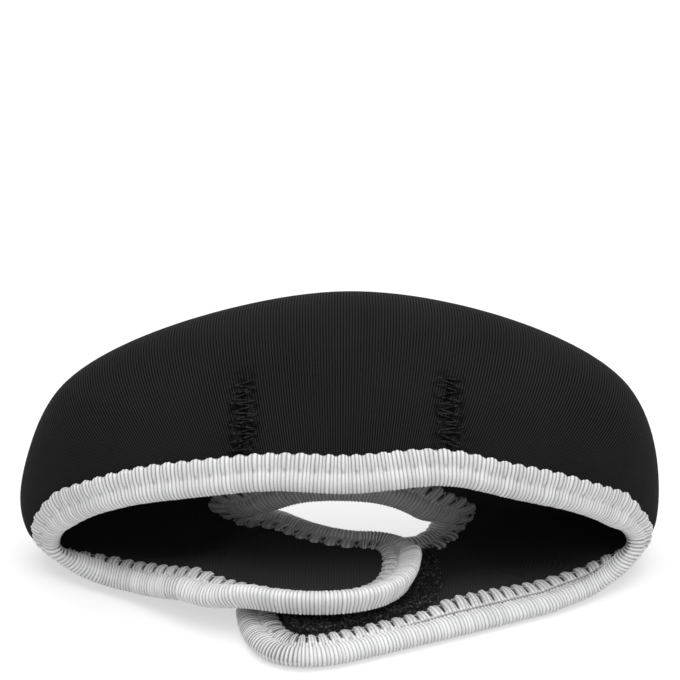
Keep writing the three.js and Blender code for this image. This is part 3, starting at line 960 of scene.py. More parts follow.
def sample(grid, place, row):
    i = np.clip(place.astype(int), 0, grid.shape[0] - 2)[:, None]
    j = np.clip(row.astype(int), 0, grid.shape[1] - 2)
    f, g = (place[:, None] - i)[..., None], (row - j)[..., None]
    low = grid[i, j] * (1 - g) + grid[i, j + 1] * g
    high = grid[i + 1, j] * (1 - g) + grid[i + 1, j + 1] * g
    return low * (1 - f) + high * f


def wall_edge(from_hole):
    u = np.linspace(0, 1, EDGE_COLUMNS + 1)
    edge_points = wall(u, distances=INSETS[:2], from_hole=from_hole)[0]
    ahead = np.gradient(edge_points[:, 0], axis=0)
    steps = np.linalg.norm(ahead, axis=1)
    track = np.concatenate([[0], np.cumsum((steps[1:] + steps[:-1]) / 2)])
    into = edge_points[:, 1] - edge_points[:, 0]
    lean = (ahead * into).sum(axis=1) / (steps * np.linalg.norm(into, axis=1))
    lean *= 0 if from_hole else ease((SQUARE_LAST - np.abs(u - CREST_PLACE)) / SQUARE_SOFT)
    squareness = np.sqrt(1 - lean**2)
    stacks = []
    for inset in INSETS:
        shifted = np.interp(track - inset * lean / squareness, track, u)
        deep = (inset / squareness)[:, None]
        points, heights, lengths = wall(shifted, distances=deep, from_hole=from_hole)
        row = heights / lengths[:, None] * (ROWS - 1)
        directions = sample(outward, TAB_COLUMNS + shifted * WALL_COLUMNS, row)
        stacks.append((points[:, 0], directions[:, 0]))
    points, directions = (np.stack(part, axis=1) for part in zip(*stacks))
    return points, unit(directions)


def tab_edge(sides, root):
    outline = np.vstack([sides[0], sides[1][-2::-1]])
    order, half_way = np.arange(len(outline)), len(outline) // 2
    tangent = unit(np.gradient(outline, axis=0))
    inward = np.stack([-tangent[:, 1], tangent[:, 0]], axis=1)
    if np.sum((outline.mean(axis=0) - outline[half_way]) * inward[half_way]) < 0:
        inward = -inward
    along_root = unit(root[1] - root[0])[:2]
    square = np.clip(np.minimum(order, order[::-1]) / ROOT_TURN, 0, 1)[:, None]
    toward = np.where(order[:, None] < len(outline) / 2, along_root, -along_root)
    inward = unit(toward + (inward - toward) * square)
    plan = outline[:, None] + inward[:, None] * INSETS[None, :, None]
    return on_tab(plan, root), tab_outward(plan, root)


# %% Join the stacks into one loop
MOUTH_RUN, RIGHT_RUN, HOLE_RUN, LEFT_RUN = range(4)
LOOP_SMOOTHING = 4

runs = [
    [part[:-1] for part in wall_edge(False)],
    [part[:-1] for part in tab_edge(RIGHT_SIDES, RIGHT_ROOT)],
    [part[:0:-1] for part in wall_edge(True)],
    [part[:0:-1] for part in tab_edge(LEFT_SIDES, LEFT_ROOT)],
]
run_starts = np.cumsum([0] + [len(run[0]) for run in runs])
stack_points, stack_outward = (np.concatenate(part) for part in zip(*runs))
for _ in range(LOOP_SMOOTHING):
    stack_outward = (np.roll(stack_outward, 1, 0) + 2 * stack_outward + np.roll(stack_outward, -1, 0)) / 4
stack_outward = unit(stack_outward)
loop_track = track_of(np.concatenate([stack_points[:, 0], stack_points[:1, 0]]))
loop_length = loop_track[-1]


def loop_place(run, u):
    return loop_track[run_starts[run] + int(round((u if run == MOUTH_RUN else 1 - u) * EDGE_COLUMNS))]


print("length of the tape:", round(loop_length, 1), "mm")

# %% Even steps along the tape
RIB_PITCH, STEPS_PER_RIB = 0.93, 4
SCALLOP_PITCH = 3.45

rib_count = round(loop_length / RIB_PITCH)
rib_pitch = loop_length / rib_count
scallop_count = round(loop_length / SCALLOP_PITCH)
scallop_pitch = loop_length / scallop_count
ring_step = rib_pitch / STEPS_PER_RIB
tape_along = np.arange(rib_count * STEPS_PER_RIB) * ring_step


def on_loop(stack, along):
    place = np.interp(along % loop_length, loop_track, np.arange(len(stack) + 1))
    first = place.astype(int) % len(stack)
    weight = (place - place.astype(int)).reshape((-1,) + (1,) * (stack.ndim - 1))
    return stack[first] * (1 - weight) + stack[(first + 1) % len(stack)] * weight


tape_points = on_loop(stack_points, tape_along)
tape_outward = on_loop(stack_outward, tape_along)
print("ribs:", rib_count, "scallops:", scallop_count)

# %% [markdown]
# ## Section of the tape
# Folded elastic makes a soft roll over the edge and lies flat where it is sewn. The needle line
# between the two is drawn down to the sheet, more so on the lining side. The roll is slimmer along the
# right tab, and it is squeezed where the mouth folds sharply at both sides, more on the left than on
# the right and more on the lining than on the face. Where the tape lies slack its ribs are crumpled,
# and along the hole they are calm and flat.

# %% Section and stretches
NEEDLE_INSET = 3.3
SEWN_FACE = [
    (7.0, 1.55), (6.9, 1.95), (6.4, 2.25), (5.4, 2.4), (4.5, 2.38), (3.8, 2.28), (3.3, 2.2), (2.9, 2.28),
]
SEWN_LINING = [
    (7.0, 1.55), (6.9, 1.9), (6.4, 2.2), (5.4, 2.36), (4.5, 2.25), (3.8, 2.0), (3.3, 1.8), (2.9, 2.0),
]
ROLL = [(2.35, 2.45), (1.7, 2.72), (0.9, 2.86), (0.0, 2.68), (-0.8, 2.25), (-1.5, 1.6), (-2.0, 0.85)]
ROLL_TIP = (-2.2, 0.0)
SLIM, SLIM_WALL, SLIM_END = 0.2, (0.80, 0.8585), 12.0
SLACK_FROM, SLACK_FADE = -6.0, 10.0
CALM_FADE, CALM_REACH = 12.0, 30.0

needle_index = [inset for inset, _ in SEWN_FACE].index(NEEDLE_INSET)
lining_side = [(inset, -height) for inset, height in SEWN_LINING + ROLL]
section = np.array(lining_side + [ROLL_TIP] + (SEWN_FACE + ROLL)[::-1])
section_round = track_of(section)
slim_start, slim_full = (loop_place(MOUTH_RUN, u) for u in SLIM_WALL)
slim_end = loop_track[run_starts[HOLE_RUN]]
slim = ease((tape_along - slim_start) / (slim_full - slim_start)) * ease((slim_end - tape_along) / SLIM_END)


def stretch(start, end, soft):
    return ease((tape_along - start) / soft) * ease((end - tape_along) / soft)


right_x, left_x = (
    stack_points[run_starts[run] : run_starts[run + 1], 0, 0] for run in (RIGHT_RUN, LEFT_RUN)
)
slack_start = loop_track[run_starts[RIGHT_RUN] + int(np.argmax(right_x < SLACK_FROM))]
slack_end = loop_track[run_starts[LEFT_RUN] + int(np.argmax(left_x))]
SLACK_STRETCH = (slack_start, slack_end, SLACK_FADE)
CALM_STRETCH = (loop_track[run_starts[HOLE_RUN]], loop_track[run_starts[LEFT_RUN]] + CALM_REACH, CALM_FADE)
print("points round the tape:", len(section), "slack for", round(slack_end - slack_start, 1), "mm")

# %% Rings of the tape
PINCH_LINING, PINCH_FACE, PINCH_TIP, PINCH_WIDTH = 0.4, 0.2, 0.42, 7.0
LEFT_PINCH = 1.6

fold_places = [loop_place(MOUTH_RUN, u) for u in FOLD_PLACES]


def at_inset(stack, inset):
    j = min(int(np.searchsorted(INSETS, max(inset, 0), side="right")) - 1, len(INSETS) - 2)
    share = (max(inset, 0) - INSETS[j]) / (INSETS[j + 1] - INSETS[j])
    return stack[:, j] * (1 - share) + stack[:, j + 1] * share


def off_tape(points, directions, inset, height):
    return at_inset(points, inset) + at_inset(directions, inset) * height


def folded(along):
    return [bell(along - place, PINCH_WIDTH) for place in fold_places]


def pinched(along, amount):
    left, right = folded(along)
    return 1 - amount * (LEFT_PINCH * left + right)


def tape_row(inset, height):
    size = pinched(tape_along, PINCH_LINING if height < 0 else PINCH_FACE)
    if inset < NEEDLE_INSET:
        size *= 1 - SLIM * slim
    level = off_tape(tape_points, tape_outward * size[:, None, None], inset, height)
    inward = unit(tape_points[:, 1] - tape_points[:, 0])
    return level + inward * (min(inset, 0) * (1 - SLIM * slim) * pinched(tape_along, PINCH_TIP))[:, None]


tape_rings = np.stack([tape_row(inset, height) for inset, height in section], axis=1)
tape_map = np.stack(np.meshgrid(tape_along, section_round, indexing="ij"), axis=2)
print("rings of the tape:", len(tape_rings))

# %% [markdown]
# ## Ribs and scallops with Geometry Nodes
# The tape's ribs and the scallops that the zigzag draws into its edge repeat all round the loop, so
# a Geometry Nodes tree makes them. Each point knows how far along the tape it is and how far in from
# the edge. The tree raises the ribs, puffs the tape up between the needle points and pulls the sewn
# edge in at each of them. Its inputs are the sizes someone might change.


# %% A new tree with named inputs
def new_tree(name, inputs):
    tree = bpy.data.node_groups.new(name, "GeometryNodeTree")
    tree.interface.new_socket("Geometry", in_out="INPUT", socket_type="NodeSocketGeometry")
    for label, kind in inputs.items():
        tree.interface.new_socket(label, in_out="INPUT", socket_type=f"NodeSocket{kind}")
    tree.interface.new_socket("Geometry", in_out="OUTPUT", socket_type="NodeSocketGeometry")
    net = Net(tree)
    entry = net.node("NodeGroupInput")
    return net, {output.name: Value(net, output) for output in entry.outputs if output.name}


def close_tree(net, geometry, material):
    solid = net.get("GeometryNodeRealizeInstances", 0, None, {0: geometry})
    done = net.get("GeometryNodeSetMaterial", 0, None, {"Geometry": solid, "Material": material})
    net.put(net.node("NodeGroupOutput").inputs[0], done)
    print("tree:", net.tree.name, "nodes:", len(net.tree.nodes))
    return net.tree


def run_tree(piece, tree, values):
    modifier = piece.modifiers.new(tree.name, "NODES")
    modifier.node_group = tree
    for item in tree.interface.items_tree:
        if item.in_out == "INPUT" and item.name in values:
            modifier[item.identifier] = values[item.name]
    evaluated = piece.evaluated_get(bpy.context.evaluated_depsgraph_get())
    mesh = bpy.data.meshes.new_from_object(evaluated)
    piece.modifiers.remove(modifier)
    piece.data = mesh


# %% Places on the tape
RIB_WOBBLES = [(1.9, 0.06), (0.73, 0.08)]
SEWN_SOFT, EDGE_FROM = 1.5, 1.3
PIT_SPAN, PIT_WIDTH, CLEFT_SPAN = (0.9, 1.0), (0.2, 0.9), (0.05, 0.65)

tape_net, tape_in = new_tree(
    "ribbed tape",
    {
        "Rib pitch": "Float", "Rib height": "Float", "Scallop pitch": "Float", "Scallop depth": "Float",
        "Puff": "Float", "Gather": "Float", "Pit": "Float", "Cleft": "Float", "Unevenness": "Float",
        "Material": "Material",
    },
)


def attribute(net, name, kind="FLOAT"):
    return net.get("GeometryNodeInputNamedAttribute", 0, {"data_type": kind}, {"Name": name})


def unevenly(net, along):
    return sum((net.math("SINE", along * turn) * shift for turn, shift in RIB_WOBBLES), along)


def rib_luck(net, along, pitch):
    number = net.math("FLOOR", along / pitch)
    return net.get("ShaderNodeTexWhiteNoise", "Value", {"noise_dimensions": "1D"}, {"W": number})


along, inset, lining, crumple, calm = (
    attribute(tape_net, name) for name in ("along", "inset", "lining", "crumple", "calm")
)
rib_along = unevenly(tape_net, along)
rib = abs(tape_net.math("SINE", rib_along * math.pi / tape_in["Rib pitch"]))
scallop = abs(tape_net.math("COSINE", along * math.pi / tape_in["Scallop pitch"]))
swing = tape_net.math("SINE", along * (2 * math.pi) / tape_in["Scallop pitch"])
sewn = tape_net.ease(inset, NEEDLE_INSET, NEEDLE_INSET + SEWN_SOFT)
edge = tape_net.ease(inset, NEEDLE_INSET + EDGE_FROM, SEWN_EDGE)
off_needle = tape_net.ease(abs(inset - NEEDLE_INSET), *PIT_WIDTH)
pit = tape_net.ease(scallop, *PIT_SPAN) * (1 - off_needle)
cleft = lining * sewn * (1 - tape_net.ease(scallop, *CLEFT_SPAN))

# %% Moves of the tape
RIB_ROUND, RIB_LEVEL, PUFF_LEVEL, SCALLOP_LEVEL = 0.8, 0.6, 0.65, 0.6
CRUMPLE_GAIN, EDGE_LOSS, CALM_LOSS, CALM_EDGE_LOSS = 1.5, 0.5, 0.4, 0.4
LINING_SCALLOP = 1.3

luck = rib_luck(tape_net, rib_along, tape_in["Rib pitch"]) - 0.5
rib_height = 1 + tape_in["Unevenness"] * luck + crumple * CRUMPLE_GAIN - edge * EDGE_LOSS
rib_height = tape_in["Rib height"] * rib_height * (1 - calm * (CALM_LOSS + edge * CALM_EDGE_LOSS))
height = rib_height * (rib ** RIB_ROUND - RIB_LEVEL) + tape_in["Puff"] * sewn * (scallop - PUFF_LEVEL)
height = height - tape_in["Pit"] * pit - tape_in["Cleft"] * cleft
reach = tape_in["Scallop depth"] * (1 + lining * LINING_SCALLOP) * edge * (scallop - SCALLOP_LEVEL)
drift = tape_in["Gather"] * sewn * swing
offset = tape_net.scaled(tape_net.get("GeometryNodeInputNormal", 0), height * MM)
for name, amount in (("inward", reach), ("onward", drift)):
    way = attribute(tape_net, name, "FLOAT_VECTOR")
    offset = tape_net.total(offset, tape_net.scaled(way, amount * MM))
placing = {"Geometry": tape_in["Geometry"], "Offset": offset}
moved = tape_net.get("GeometryNodeSetPosition", 0, None, placing)
TAPE_TREE = close_tree(tape_net, moved, tape_in["Material"])

# %% [markdown]
# ## Finish of the tape
# The tape is pale grey nylon. Its ribs are already in the mesh, and the finish adds painted shade
# to them: in the gaps between ribs, in the notches between the lobes of its lining edge, over the sewn
# part of the lining side, at the needle points, in the groove, by the folds and where the tape is slack.
# It also adds a slight change of tone along the length and the fine lines of the yarn.

# %% Where the tape is shaded
NEEDLE_ROUNDS = (section_round[needle_index], section_round[-1 - needle_index])
TIP_ROUND = section_round[len(section) // 2]
NEEDLE_SPAN, NEEDLE_WIDTH, GROOVE_WIDTH = (0.88, 0.99), (0.25, 0.75), (0.05, 0.4)
GROOVE_FROM, GROOVE_REACH, GROOVE_SOFT = 0.769, 44.0, 10.0
SEWN_SPAN, NOTCH_START, NOTCH_END = (0.2, 1.2), 0.16, 0.36
NOTCH_FLARE, FLARE_SPAN = 0.5, (0.8, 3.4)
FOLD_SPAN, LOW_LEFT_SPAN = (2.5, 7.0), (-12.0, -4.0)

groove_end = loop_track[run_starts[RIGHT_RUN]] + GROOVE_REACH
GROOVE_STRETCH = (loop_place(MOUTH_RUN, GROOVE_FROM), groove_end, GROOVE_SOFT)
print("groove for", round(GROOVE_STRETCH[1] - GROOVE_STRETCH[0], 1), "mm")


def tape_masks(net, u, v):
    inside = net.math("LESS_THAN", v, TIP_ROUND)
    beside = net.math("MINIMUM", *(abs(v - place) for place in NEEDLE_ROUNDS))
    past_needle = net.math("SIGN", abs(v - TIP_ROUND) - (TIP_ROUND - NEEDLE_ROUNDS[0]))
    sewn = net.ease(beside * past_needle, *SEWN_SPAN)
    scallop = abs(net.math("COSINE", u * (math.pi / scallop_pitch)))
    notch_end = NOTCH_END + NOTCH_FLARE * net.ease(beside, *FLARE_SPAN)
    return {
        "inside": inside,
        "sewn": sewn,
        "needle": net.ease(scallop, *NEEDLE_SPAN) * (1 - net.ease(beside, *NEEDLE_WIDTH)),
        "notch": (1 - net.ease(scallop, NOTCH_START, notch_end)) * sewn,
        "groove": (1 - net.ease(beside, *GROOVE_WIDTH)) * inside * net.stretch(u, *GROOVE_STRETCH),
        "near_fold": sum(1 - net.ease(abs(u - place), *FOLD_SPAN) for place in fold_places),
        "low_left": 1 - net.ease(u, *(fold_places[0] + gap for gap in LOW_LEFT_SPAN)),
        "slack": net.stretch(u, *SLACK_STRETCH) * inside,
        "calm": net.stretch(u, *CALM_STRETCH),
    }


# %% A ribbed finish
TAPE_ROUGHNESS, TAPE_POLISH, TAPE_SHEEN = 0.72, 0.16, 0.08
YARN_SLANT, YARN_PITCH, YARN_BUMP = 0.8, 0.42, (0.03, 0.5)
TONE_SCALE, FUZZ_SCALE, FUZZ_SPAN = 60.0, 2200.0, (0.45, 0.62)
CREST_POWER, SLACK_POWER, SEWN_POWER, LOW_POWER = 0.6, 1.3, 0.25, 0.35
CALM_CREST, CALM_SHARE = 0.72, 0.6
RIB_TONE, LUCK_TONE, CLOUD_TONE, YARN_TONE, FUZZ_TONE = 0.6, 0.2, 0.2, 0.14, 0.16
SLACK_SHADE, NEEDLE_SHADE, GROOVE_SHADE, FOLD_SHADE = 0.3, 0.22, 0.6, 0.9
NOTCH_FACE, NOTCH_LINING = 0.03, 0.92
SEWN_SHADE, FUZZ_SHADE = 0.1, 0.2


def ribbed(name, shaded_gap_colour, rib_colour):
    finish, net, shader = new_finish(name, TAPE_ROUGHNESS)
    u, v = map_axes(net, "tape")
    on = tape_masks(net, u, v)
    rib_along = unevenly(net, u)
    ridge = net.wave(rib_along, rib_pitch)
    yarn = net.wave(v + u * YARN_SLANT, YARN_PITCH)
    luck = rib_luck(net, rib_along, rib_pitch)
    tone, fuzz = net.noise(TONE_SCALE), net.noise(FUZZ_SCALE)
    on_face = (1 - on["inside"]) * (on["sewn"] * SEWN_POWER + on["low_left"] * LOW_POWER)
    # Brighter crests and darker gaps between ribs are painted shade; on the sewn face and the low left run
    # the crests are narrower, so more of it.
    crest = ridge ** (CREST_POWER + on["slack"] * SLACK_POWER + on_face)
    crest = crest + (CALM_CREST - crest) * on["calm"] * CALM_SHARE
    lift = crest * (RIB_TONE + luck * LUCK_TONE) + tone * CLOUD_TONE + yarn * YARN_TONE + fuzz * FUZZ_TONE
    # Painted shade over the sewn part of the lining side, uneven in flecks.
    sewn_lining_shade = SEWN_SHADE + FUZZ_SHADE * net.ease(fuzz, *FUZZ_SPAN)
    # Each of these darkens the colour with painted shade: where the tape is slack, at the needle points, in
    # the notches between lobes, in the groove, over the sewn lining side and by the folds.
    for shade in (
        on["slack"] * SLACK_SHADE * (1 - crest),
        on["needle"] * NEEDLE_SHADE,
        on["notch"] * (NOTCH_FACE + on["inside"] * NOTCH_LINING),
        on["groove"] * GROOVE_SHADE,
        on["inside"] * on["sewn"] * sewn_lining_shade,
        on["near_fold"] * on["inside"] * (1 - ridge) * FOLD_SHADE,
    ):
        lift = lift * (1 - shade)
    net.fill(
        shader,
        {
            "Base Color": net.blend(lift, shaded_gap_colour, rib_colour),
            "Roughness": TAPE_ROUGHNESS - ridge * TAPE_POLISH,
            "Normal": net.bump(yarn, *YARN_BUMP),
            "Sheen Weight": TAPE_SHEEN,
        },
    )
    return finish


TAPE = ribbed("ribbed tape", grey(0.02), (0.88, 0.88, 0.885))
print("finish:", TAPE.name, "nodes:", len(TAPE.node_tree.nodes))

# %% Raise the ribs on the whole loop
SEWN_INSETS = (5, 6)
SLACK_CRUMPLE = 0.5


def loop_normals(rings):
    ahead, around = (np.roll(rings, -1, axis=axis) - np.roll(rings, 1, axis=axis) for axis in (0, 1))
    return facing(ahead, around)


onward_ways = unit(np.roll(tape_points[:, 0], -1, 0) - np.roll(tape_points[:, 0], 1, 0))
inward_ways = unit(tape_points[:, SEWN_INSETS[1]] - tape_points[:, SEWN_INSETS[0]])
crumpled = sum(folded(tape_along)) + SLACK_CRUMPLE * stretch(*SLACK_STRETCH)
ring_size = len(section)
tape_piece = loft("tape_loop", tape_rings, loop_normals(tape_rings), tape_map, "tape", [], [TAPE])
for label, values in (
    ("along", tape_along), ("crumple", crumpled), ("calm", stretch(*CALM_STRETCH)),
    ("onward", onward_ways), ("inward", inward_ways),
):
    fill_layer(tape_piece.data, label, np.repeat(values, ring_size, axis=0))
for label, values in (("inset", section[:, 0]), ("lining", section[:, 1] < 0)):
    fill_layer(tape_piece.data, label, np.tile(values, len(tape_rings)))
run_tree(
    tape_piece,
    TAPE_TREE,
    {
        "Rib pitch": rib_pitch, "Rib height": 0.34, "Scallop pitch": scallop_pitch, "Scallop depth": 0.5,
        "Puff": 0.22, "Gather": 0.06, "Pit": 0.14, "Cleft": 0.6, "Unevenness": 0.9, "Material": TAPE,
    },
)
raised = np.empty(len(tape_piece.data.vertices) * 3, np.float32)
tape_piece.data.vertices.foreach_get("co", raised)
raised_rings = raised.reshape(tape_rings.shape).astype(float) / MM - SHIFT
bpy.data.objects.remove(tape_piece)
print("highest move:", round(float(np.abs(raised_rings - tape_rings).max()), 2), "mm")

# %% Four runs of the tape on three bodies
cut_rings = {
    name: int(round(loop_place(run, u) / ring_step))
    for name, run, u in (
        ("mouth_left", MOUTH_RUN, CUT_SHARE), ("mouth_right", MOUTH_RUN, 1 - CUT_SHARE),
        ("hole_right", HOLE_RUN, 1 - CUT_SHARE), ("hole_left", HOLE_RUN, CUT_SHARE),
    )
}
TAPE_RUNS = {
    "mouth": ("crown", "mouth_left", "mouth_right"),
    "right_tab": ("right_tab", "mouth_right", "hole_right"),
    "hole": ("crown", "hole_right", "hole_left"),
    "left_tab": ("left_tab", "hole_left", "mouth_left"),
}
raised_normals = loop_normals(raised_rings)
tape_cap = [tuple(range(ring_size))]
for name, (body, start, end) in TAPE_RUNS.items():
    first, final = cut_rings[start], cut_rings[end]
    if final < first:
        final += len(raised_rings)
    take = np.arange(first, final + 1) % len(raised_rings)
    run_map = tape_map[take].copy()
    run_map[..., 0] += loop_length * np.concatenate([[0], np.cumsum(np.diff(take) < 0)])[:, None]
    piece = loft(
        f"{name}_tape", raised_rings[take], raised_normals[take], run_map, "tape", tape_cap, [TAPE]
    )
    carry(piece, body)
    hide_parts(f"{name}_binding")

# %% [markdown]
# ## Stitches
# A stitch is a short arch of thread between two needle points. Hundreds of copied objects would be
# slow to handle. Geometry Nodes put one stitch on each point of a plain cloud of points instead: the
# point says which way the stitch runs, which way is up and how long it is. The same tree sews the
# zigzag along the tape and the darts.

# %% The tree for stitches
STITCH_END, STITCH_HANDLE = 0.5, 0.35
STITCH_STEPS, STITCH_SIDES = 6, 6


def tube(net, guide, steps, sides, radius, caps=True):
    names = ("Start", "Start Handle", "End Handle", "End")
    inputs = {"Resolution": steps, **dict(zip(names, guide))}
    line = net.get("GeometryNodeCurvePrimitiveBezierSegment", 0, {"mode": "POSITION"}, inputs)
    inputs = {"Resolution": sides, "Radius": radius}
    ring = net.get("GeometryNodeCurvePrimitiveCircle", 0, None, inputs)
    inputs = {"Curve": line, "Profile Curve": ring, "Fill Caps": caps}
    return net.get("GeometryNodeCurveToMesh", 0, None, inputs)


def copies(net, inputs):
    return net.get("GeometryNodeInstanceOnPoints", 0, None, inputs)


stitch_net, stitch_in = new_tree(
    "stitches", {"Thread radius": "Float", "Arch": "Float", "Material": "Material"}
)
stitch_rise = stitch_net.get("ShaderNodeCombineXYZ", 0, None, {0: 0.0, 1: 0.0, 2: stitch_in["Arch"]})
handles = [stitch_net.total(stitch_rise, (side * STITCH_HANDLE, 0, 0)) for side in (-1, 1)]
stitch_guide = [(-STITCH_END, 0, 0), *handles, (STITCH_END, 0, 0)]
stitch_turn = stitch_net.get(
    "FunctionNodeAxesToRotation", 0, {"primary_axis": "X", "secondary_axis": "Z"},
    {k: attribute(stitch_net, name, "FLOAT_VECTOR") for k, name in enumerate(("way", "up"))},
)
stitch_size = {0: attribute(stitch_net, "span"), 1: 1.0, 2: 1.0}
stitch_copies = copies(
    stitch_net,
    {
        "Points": stitch_in["Geometry"],
        "Instance": tube(stitch_net, stitch_guide, STITCH_STEPS, STITCH_SIDES, stitch_in["Thread radius"]),
        "Rotation": stitch_turn,
        "Scale": stitch_net.get("ShaderNodeCombineXYZ", 0, None, stitch_size),
    },
)
STITCH_TREE = close_tree(stitch_net, stitch_copies, stitch_in["Material"])

# %% Sew a row of stitches
THREAD_LOOK = {"scale": 1500.0, "span": (0.35, 0.65), "rough": 0.5, "rougher": 0.25, "relief": (0.05, 0.6)}


def flecked(name, dark, light, scale, span, rough, rougher, gloss=CLOTH_GLOSS, relief=None):
    finish, net, shader = new_finish(name, rough, gloss)
    fleck = net.ease(net.noise(scale), *span)
    colour = net.blend(fleck, grey(dark), grey(light))
    net.fill(shader, {"Base Color": colour, "Roughness": rough + fleck * rougher})
    if relief:
        net.put(shader.inputs["Normal"], net.bump(fleck, *relief))
    return finish


PALE_THREAD = flecked("pale thread", 0.40, 0.66, **THREAD_LOOK)
BLACK_THREAD = flecked("black thread", 0.001, 0.028, gloss=0.04, **THREAD_LOOK)
print("threads:", PALE_THREAD.name, BLACK_THREAD.name)


def sew(name, starts, ends, ups, radius, arch_height, finish):
    ways = ends - starts
    mesh = bpy.data.meshes.new(name)
    mesh.from_pydata(((starts + ends) / 2 + SHIFT) * MM, [], [])
    spans = np.linalg.norm(ways, axis=1) * MM
    for label, values in (("way", ways), ("up", ups), ("span", spans)):
        fill_layer(mesh, label, values)
    piece = add_object(name, mesh)
    sizes = {"Thread radius": radius * MM, "Arch": arch_height * MM, "Material": finish}
    run_tree(piece, STITCH_TREE, sizes)
    piece.data.shade_smooth()
    print(f"{name}: {len(starts)} stitches, {len(piece.data.polygons)} faces")
    return piece


# %% Zigzag along the tape
NEEDLE_ROLL, NEEDLE_EDGE = (NEEDLE_INSET, 1.75), (SEWN_EDGE - 0.1, 1.55)
TAPE_THREAD, TAPE_ARCH = 0.12, 0.55
MIDDLE_INSET = 4

turns = np.arange(2 * scallop_count + 1) * scallop_pitch / 2
needle_points = on_loop(stack_points, turns)
needle_outward = on_loop(stack_outward, turns)
at_roll = (np.arange(len(turns)) % 2 == 0)[:, None]
needles = []
for side, amount in ((1, PINCH_FACE), (-1, PINCH_LINING)):
    needle_ways = needle_outward * (side * pinched(turns, amount))[:, None, None]
    near_roll, near_seam = (
        off_tape(needle_points, needle_ways, *spot) for spot in (NEEDLE_ROLL, NEEDLE_EDGE)
    )
    needles.append(np.where(at_roll, near_roll, near_seam))
stitch_place = (turns[:-1] + turns[1:]) / 2 / ring_step
on_right = (stitch_place > cut_rings["mouth_right"]) & (stitch_place < cut_rings["hole_right"])
on_left = (stitch_place > cut_rings["hole_left"]) | (stitch_place < cut_rings["mouth_left"])
needle_ups = needle_outward[:-1, MIDDLE_INSET]
for body, mine in (("crown", ~on_right & ~on_left), ("left_tab", on_left), ("right_tab", on_right)):
    stitch_starts = np.concatenate([row[:-1][mine] for row in needles])
    stitch_ends = np.concatenate([row[1:][mine] for row in needles])
    stitch_ups = np.concatenate([needle_ups[mine], -needle_ups[mine]])
    piece = sew(
        f"{body}_zigzag", stitch_starts, stitch_ends, stitch_ups, TAPE_THREAD, TAPE_ARCH, PALE_THREAD
    )
    carry(piece, body)

# %% Zigzag over the darts
DART_STITCHES = 20
DART_THREAD, DART_ARCH, DART_SINK = 0.22, 0.3, 0.08
DART_STRAY, DART_SEED = 0.7, 11

stray = np.random.default_rng(DART_SEED)


def on_crown(x, height):
    columns = np.arange(WALL_COLUMNS // 4, 3 * WALL_COLUMNS // 4 + 1)
    every_row = np.arange(ROWS)
    rows = [np.interp(height, wall_heights[column], every_row) for column in columns]
    across = [np.interp(row, every_row, wall_points[column, :, 0]) for column, row in zip(columns, rows)]
    column = np.interp(x, across, columns)
    place = np.array([TAB_COLUMNS + column])
    row = np.array([[np.interp(column, columns, rows)]])
    return sample(outer_face, place, row)[0, 0], sample(outward, place, row)[0, 0]


for side, x in DART_X.items():
    needle = []
    for k in range(DART_STITCHES + 1):
        sway = (1 if k % 2 == 0 else -1) * DART_WIDTH / 2
        aside, ahead = stray.uniform(-DART_STRAY, DART_STRAY, 2)
        needle.append(on_crown(x + sway + aside, DART_START + DART_LENGTH * k / DART_STITCHES + ahead))
    surface, up = (np.array(part) for part in zip(*needle))
    sunk = surface - up * DART_SINK
    piece = sew(f"{side}_dart", sunk[:-1], sunk[1:], up[:-1], DART_THREAD, DART_ARCH, BLACK_THREAD)
    carry(piece, "crown")
    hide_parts(f"{side}_dart_thread")

# %% [markdown]
# ## Hook and loop
# The right tab carries a patch of soft loop pile, and the left tab the hooks that catch in it. Both
# are dense fields of one tiny shape. The pile is scattered over the top of its patch with a fixed
# seed, and the hooks stand in rows, found by casting rays from a grid onto the patch.

# %% Closure patches
MERGE_DISTANCE, FLAT_ANGLE = 1e-6, math.radians(1)
PILE_LOOK = {"scale": 1400.0, "span": (0.5, 0.75), "rougher": 0.1}

LOOP_PILE = flecked("loop pile", 0.004, 0.14, rough=0.75, **PILE_LOOK)
HOOK_PLASTIC = flecked("hook plastic", 0.006, 0.018, rough=0.45, **PILE_LOOK)
print("finishes:", LOOP_PILE.name, HOOK_PLASTIC.name)


def join(net, first, second):
    both = net.node("GeometryNodeJoinGeometry")
    net.put(both.inputs[0], first)
    net.put(both.inputs[0], second)
    return Value(net, both.outputs[0])


def cover_patch(name, node, tree, values, body):
    mesh = frame["nodes"][node].data.copy()
    mesh.name = name
    work = bmesh.new()
    work.from_mesh(mesh)
    bmesh.ops.remove_doubles(work, verts=work.verts, dist=MERGE_DISTANCE)
    bmesh.ops.dissolve_limit(work, angle_limit=FLAT_ANGLE, verts=work.verts, edges=work.edges)
    work.to_mesh(mesh)
    work.free()
    mesh.materials.clear()
    piece = add_object(name, mesh)
    run_tree(piece, tree, values)
    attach(piece, body)
    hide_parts(node)
    print(f"{name}: {len(piece.data.polygons)} faces")


# %% Loop pile
FACES_UP = 0.9
LOOP_GUIDE = [(-0.4, 0, -0.2), (-0.9, 0.2, 1.1), (0.9, -0.3, 1.1), (0.4, 0, -0.2)]
LOOP_STEPS, LOOP_SIDES = 5, 3
LOOP_LEAN, LOOP_SIZES = 0.5, (0.6, 1.25)

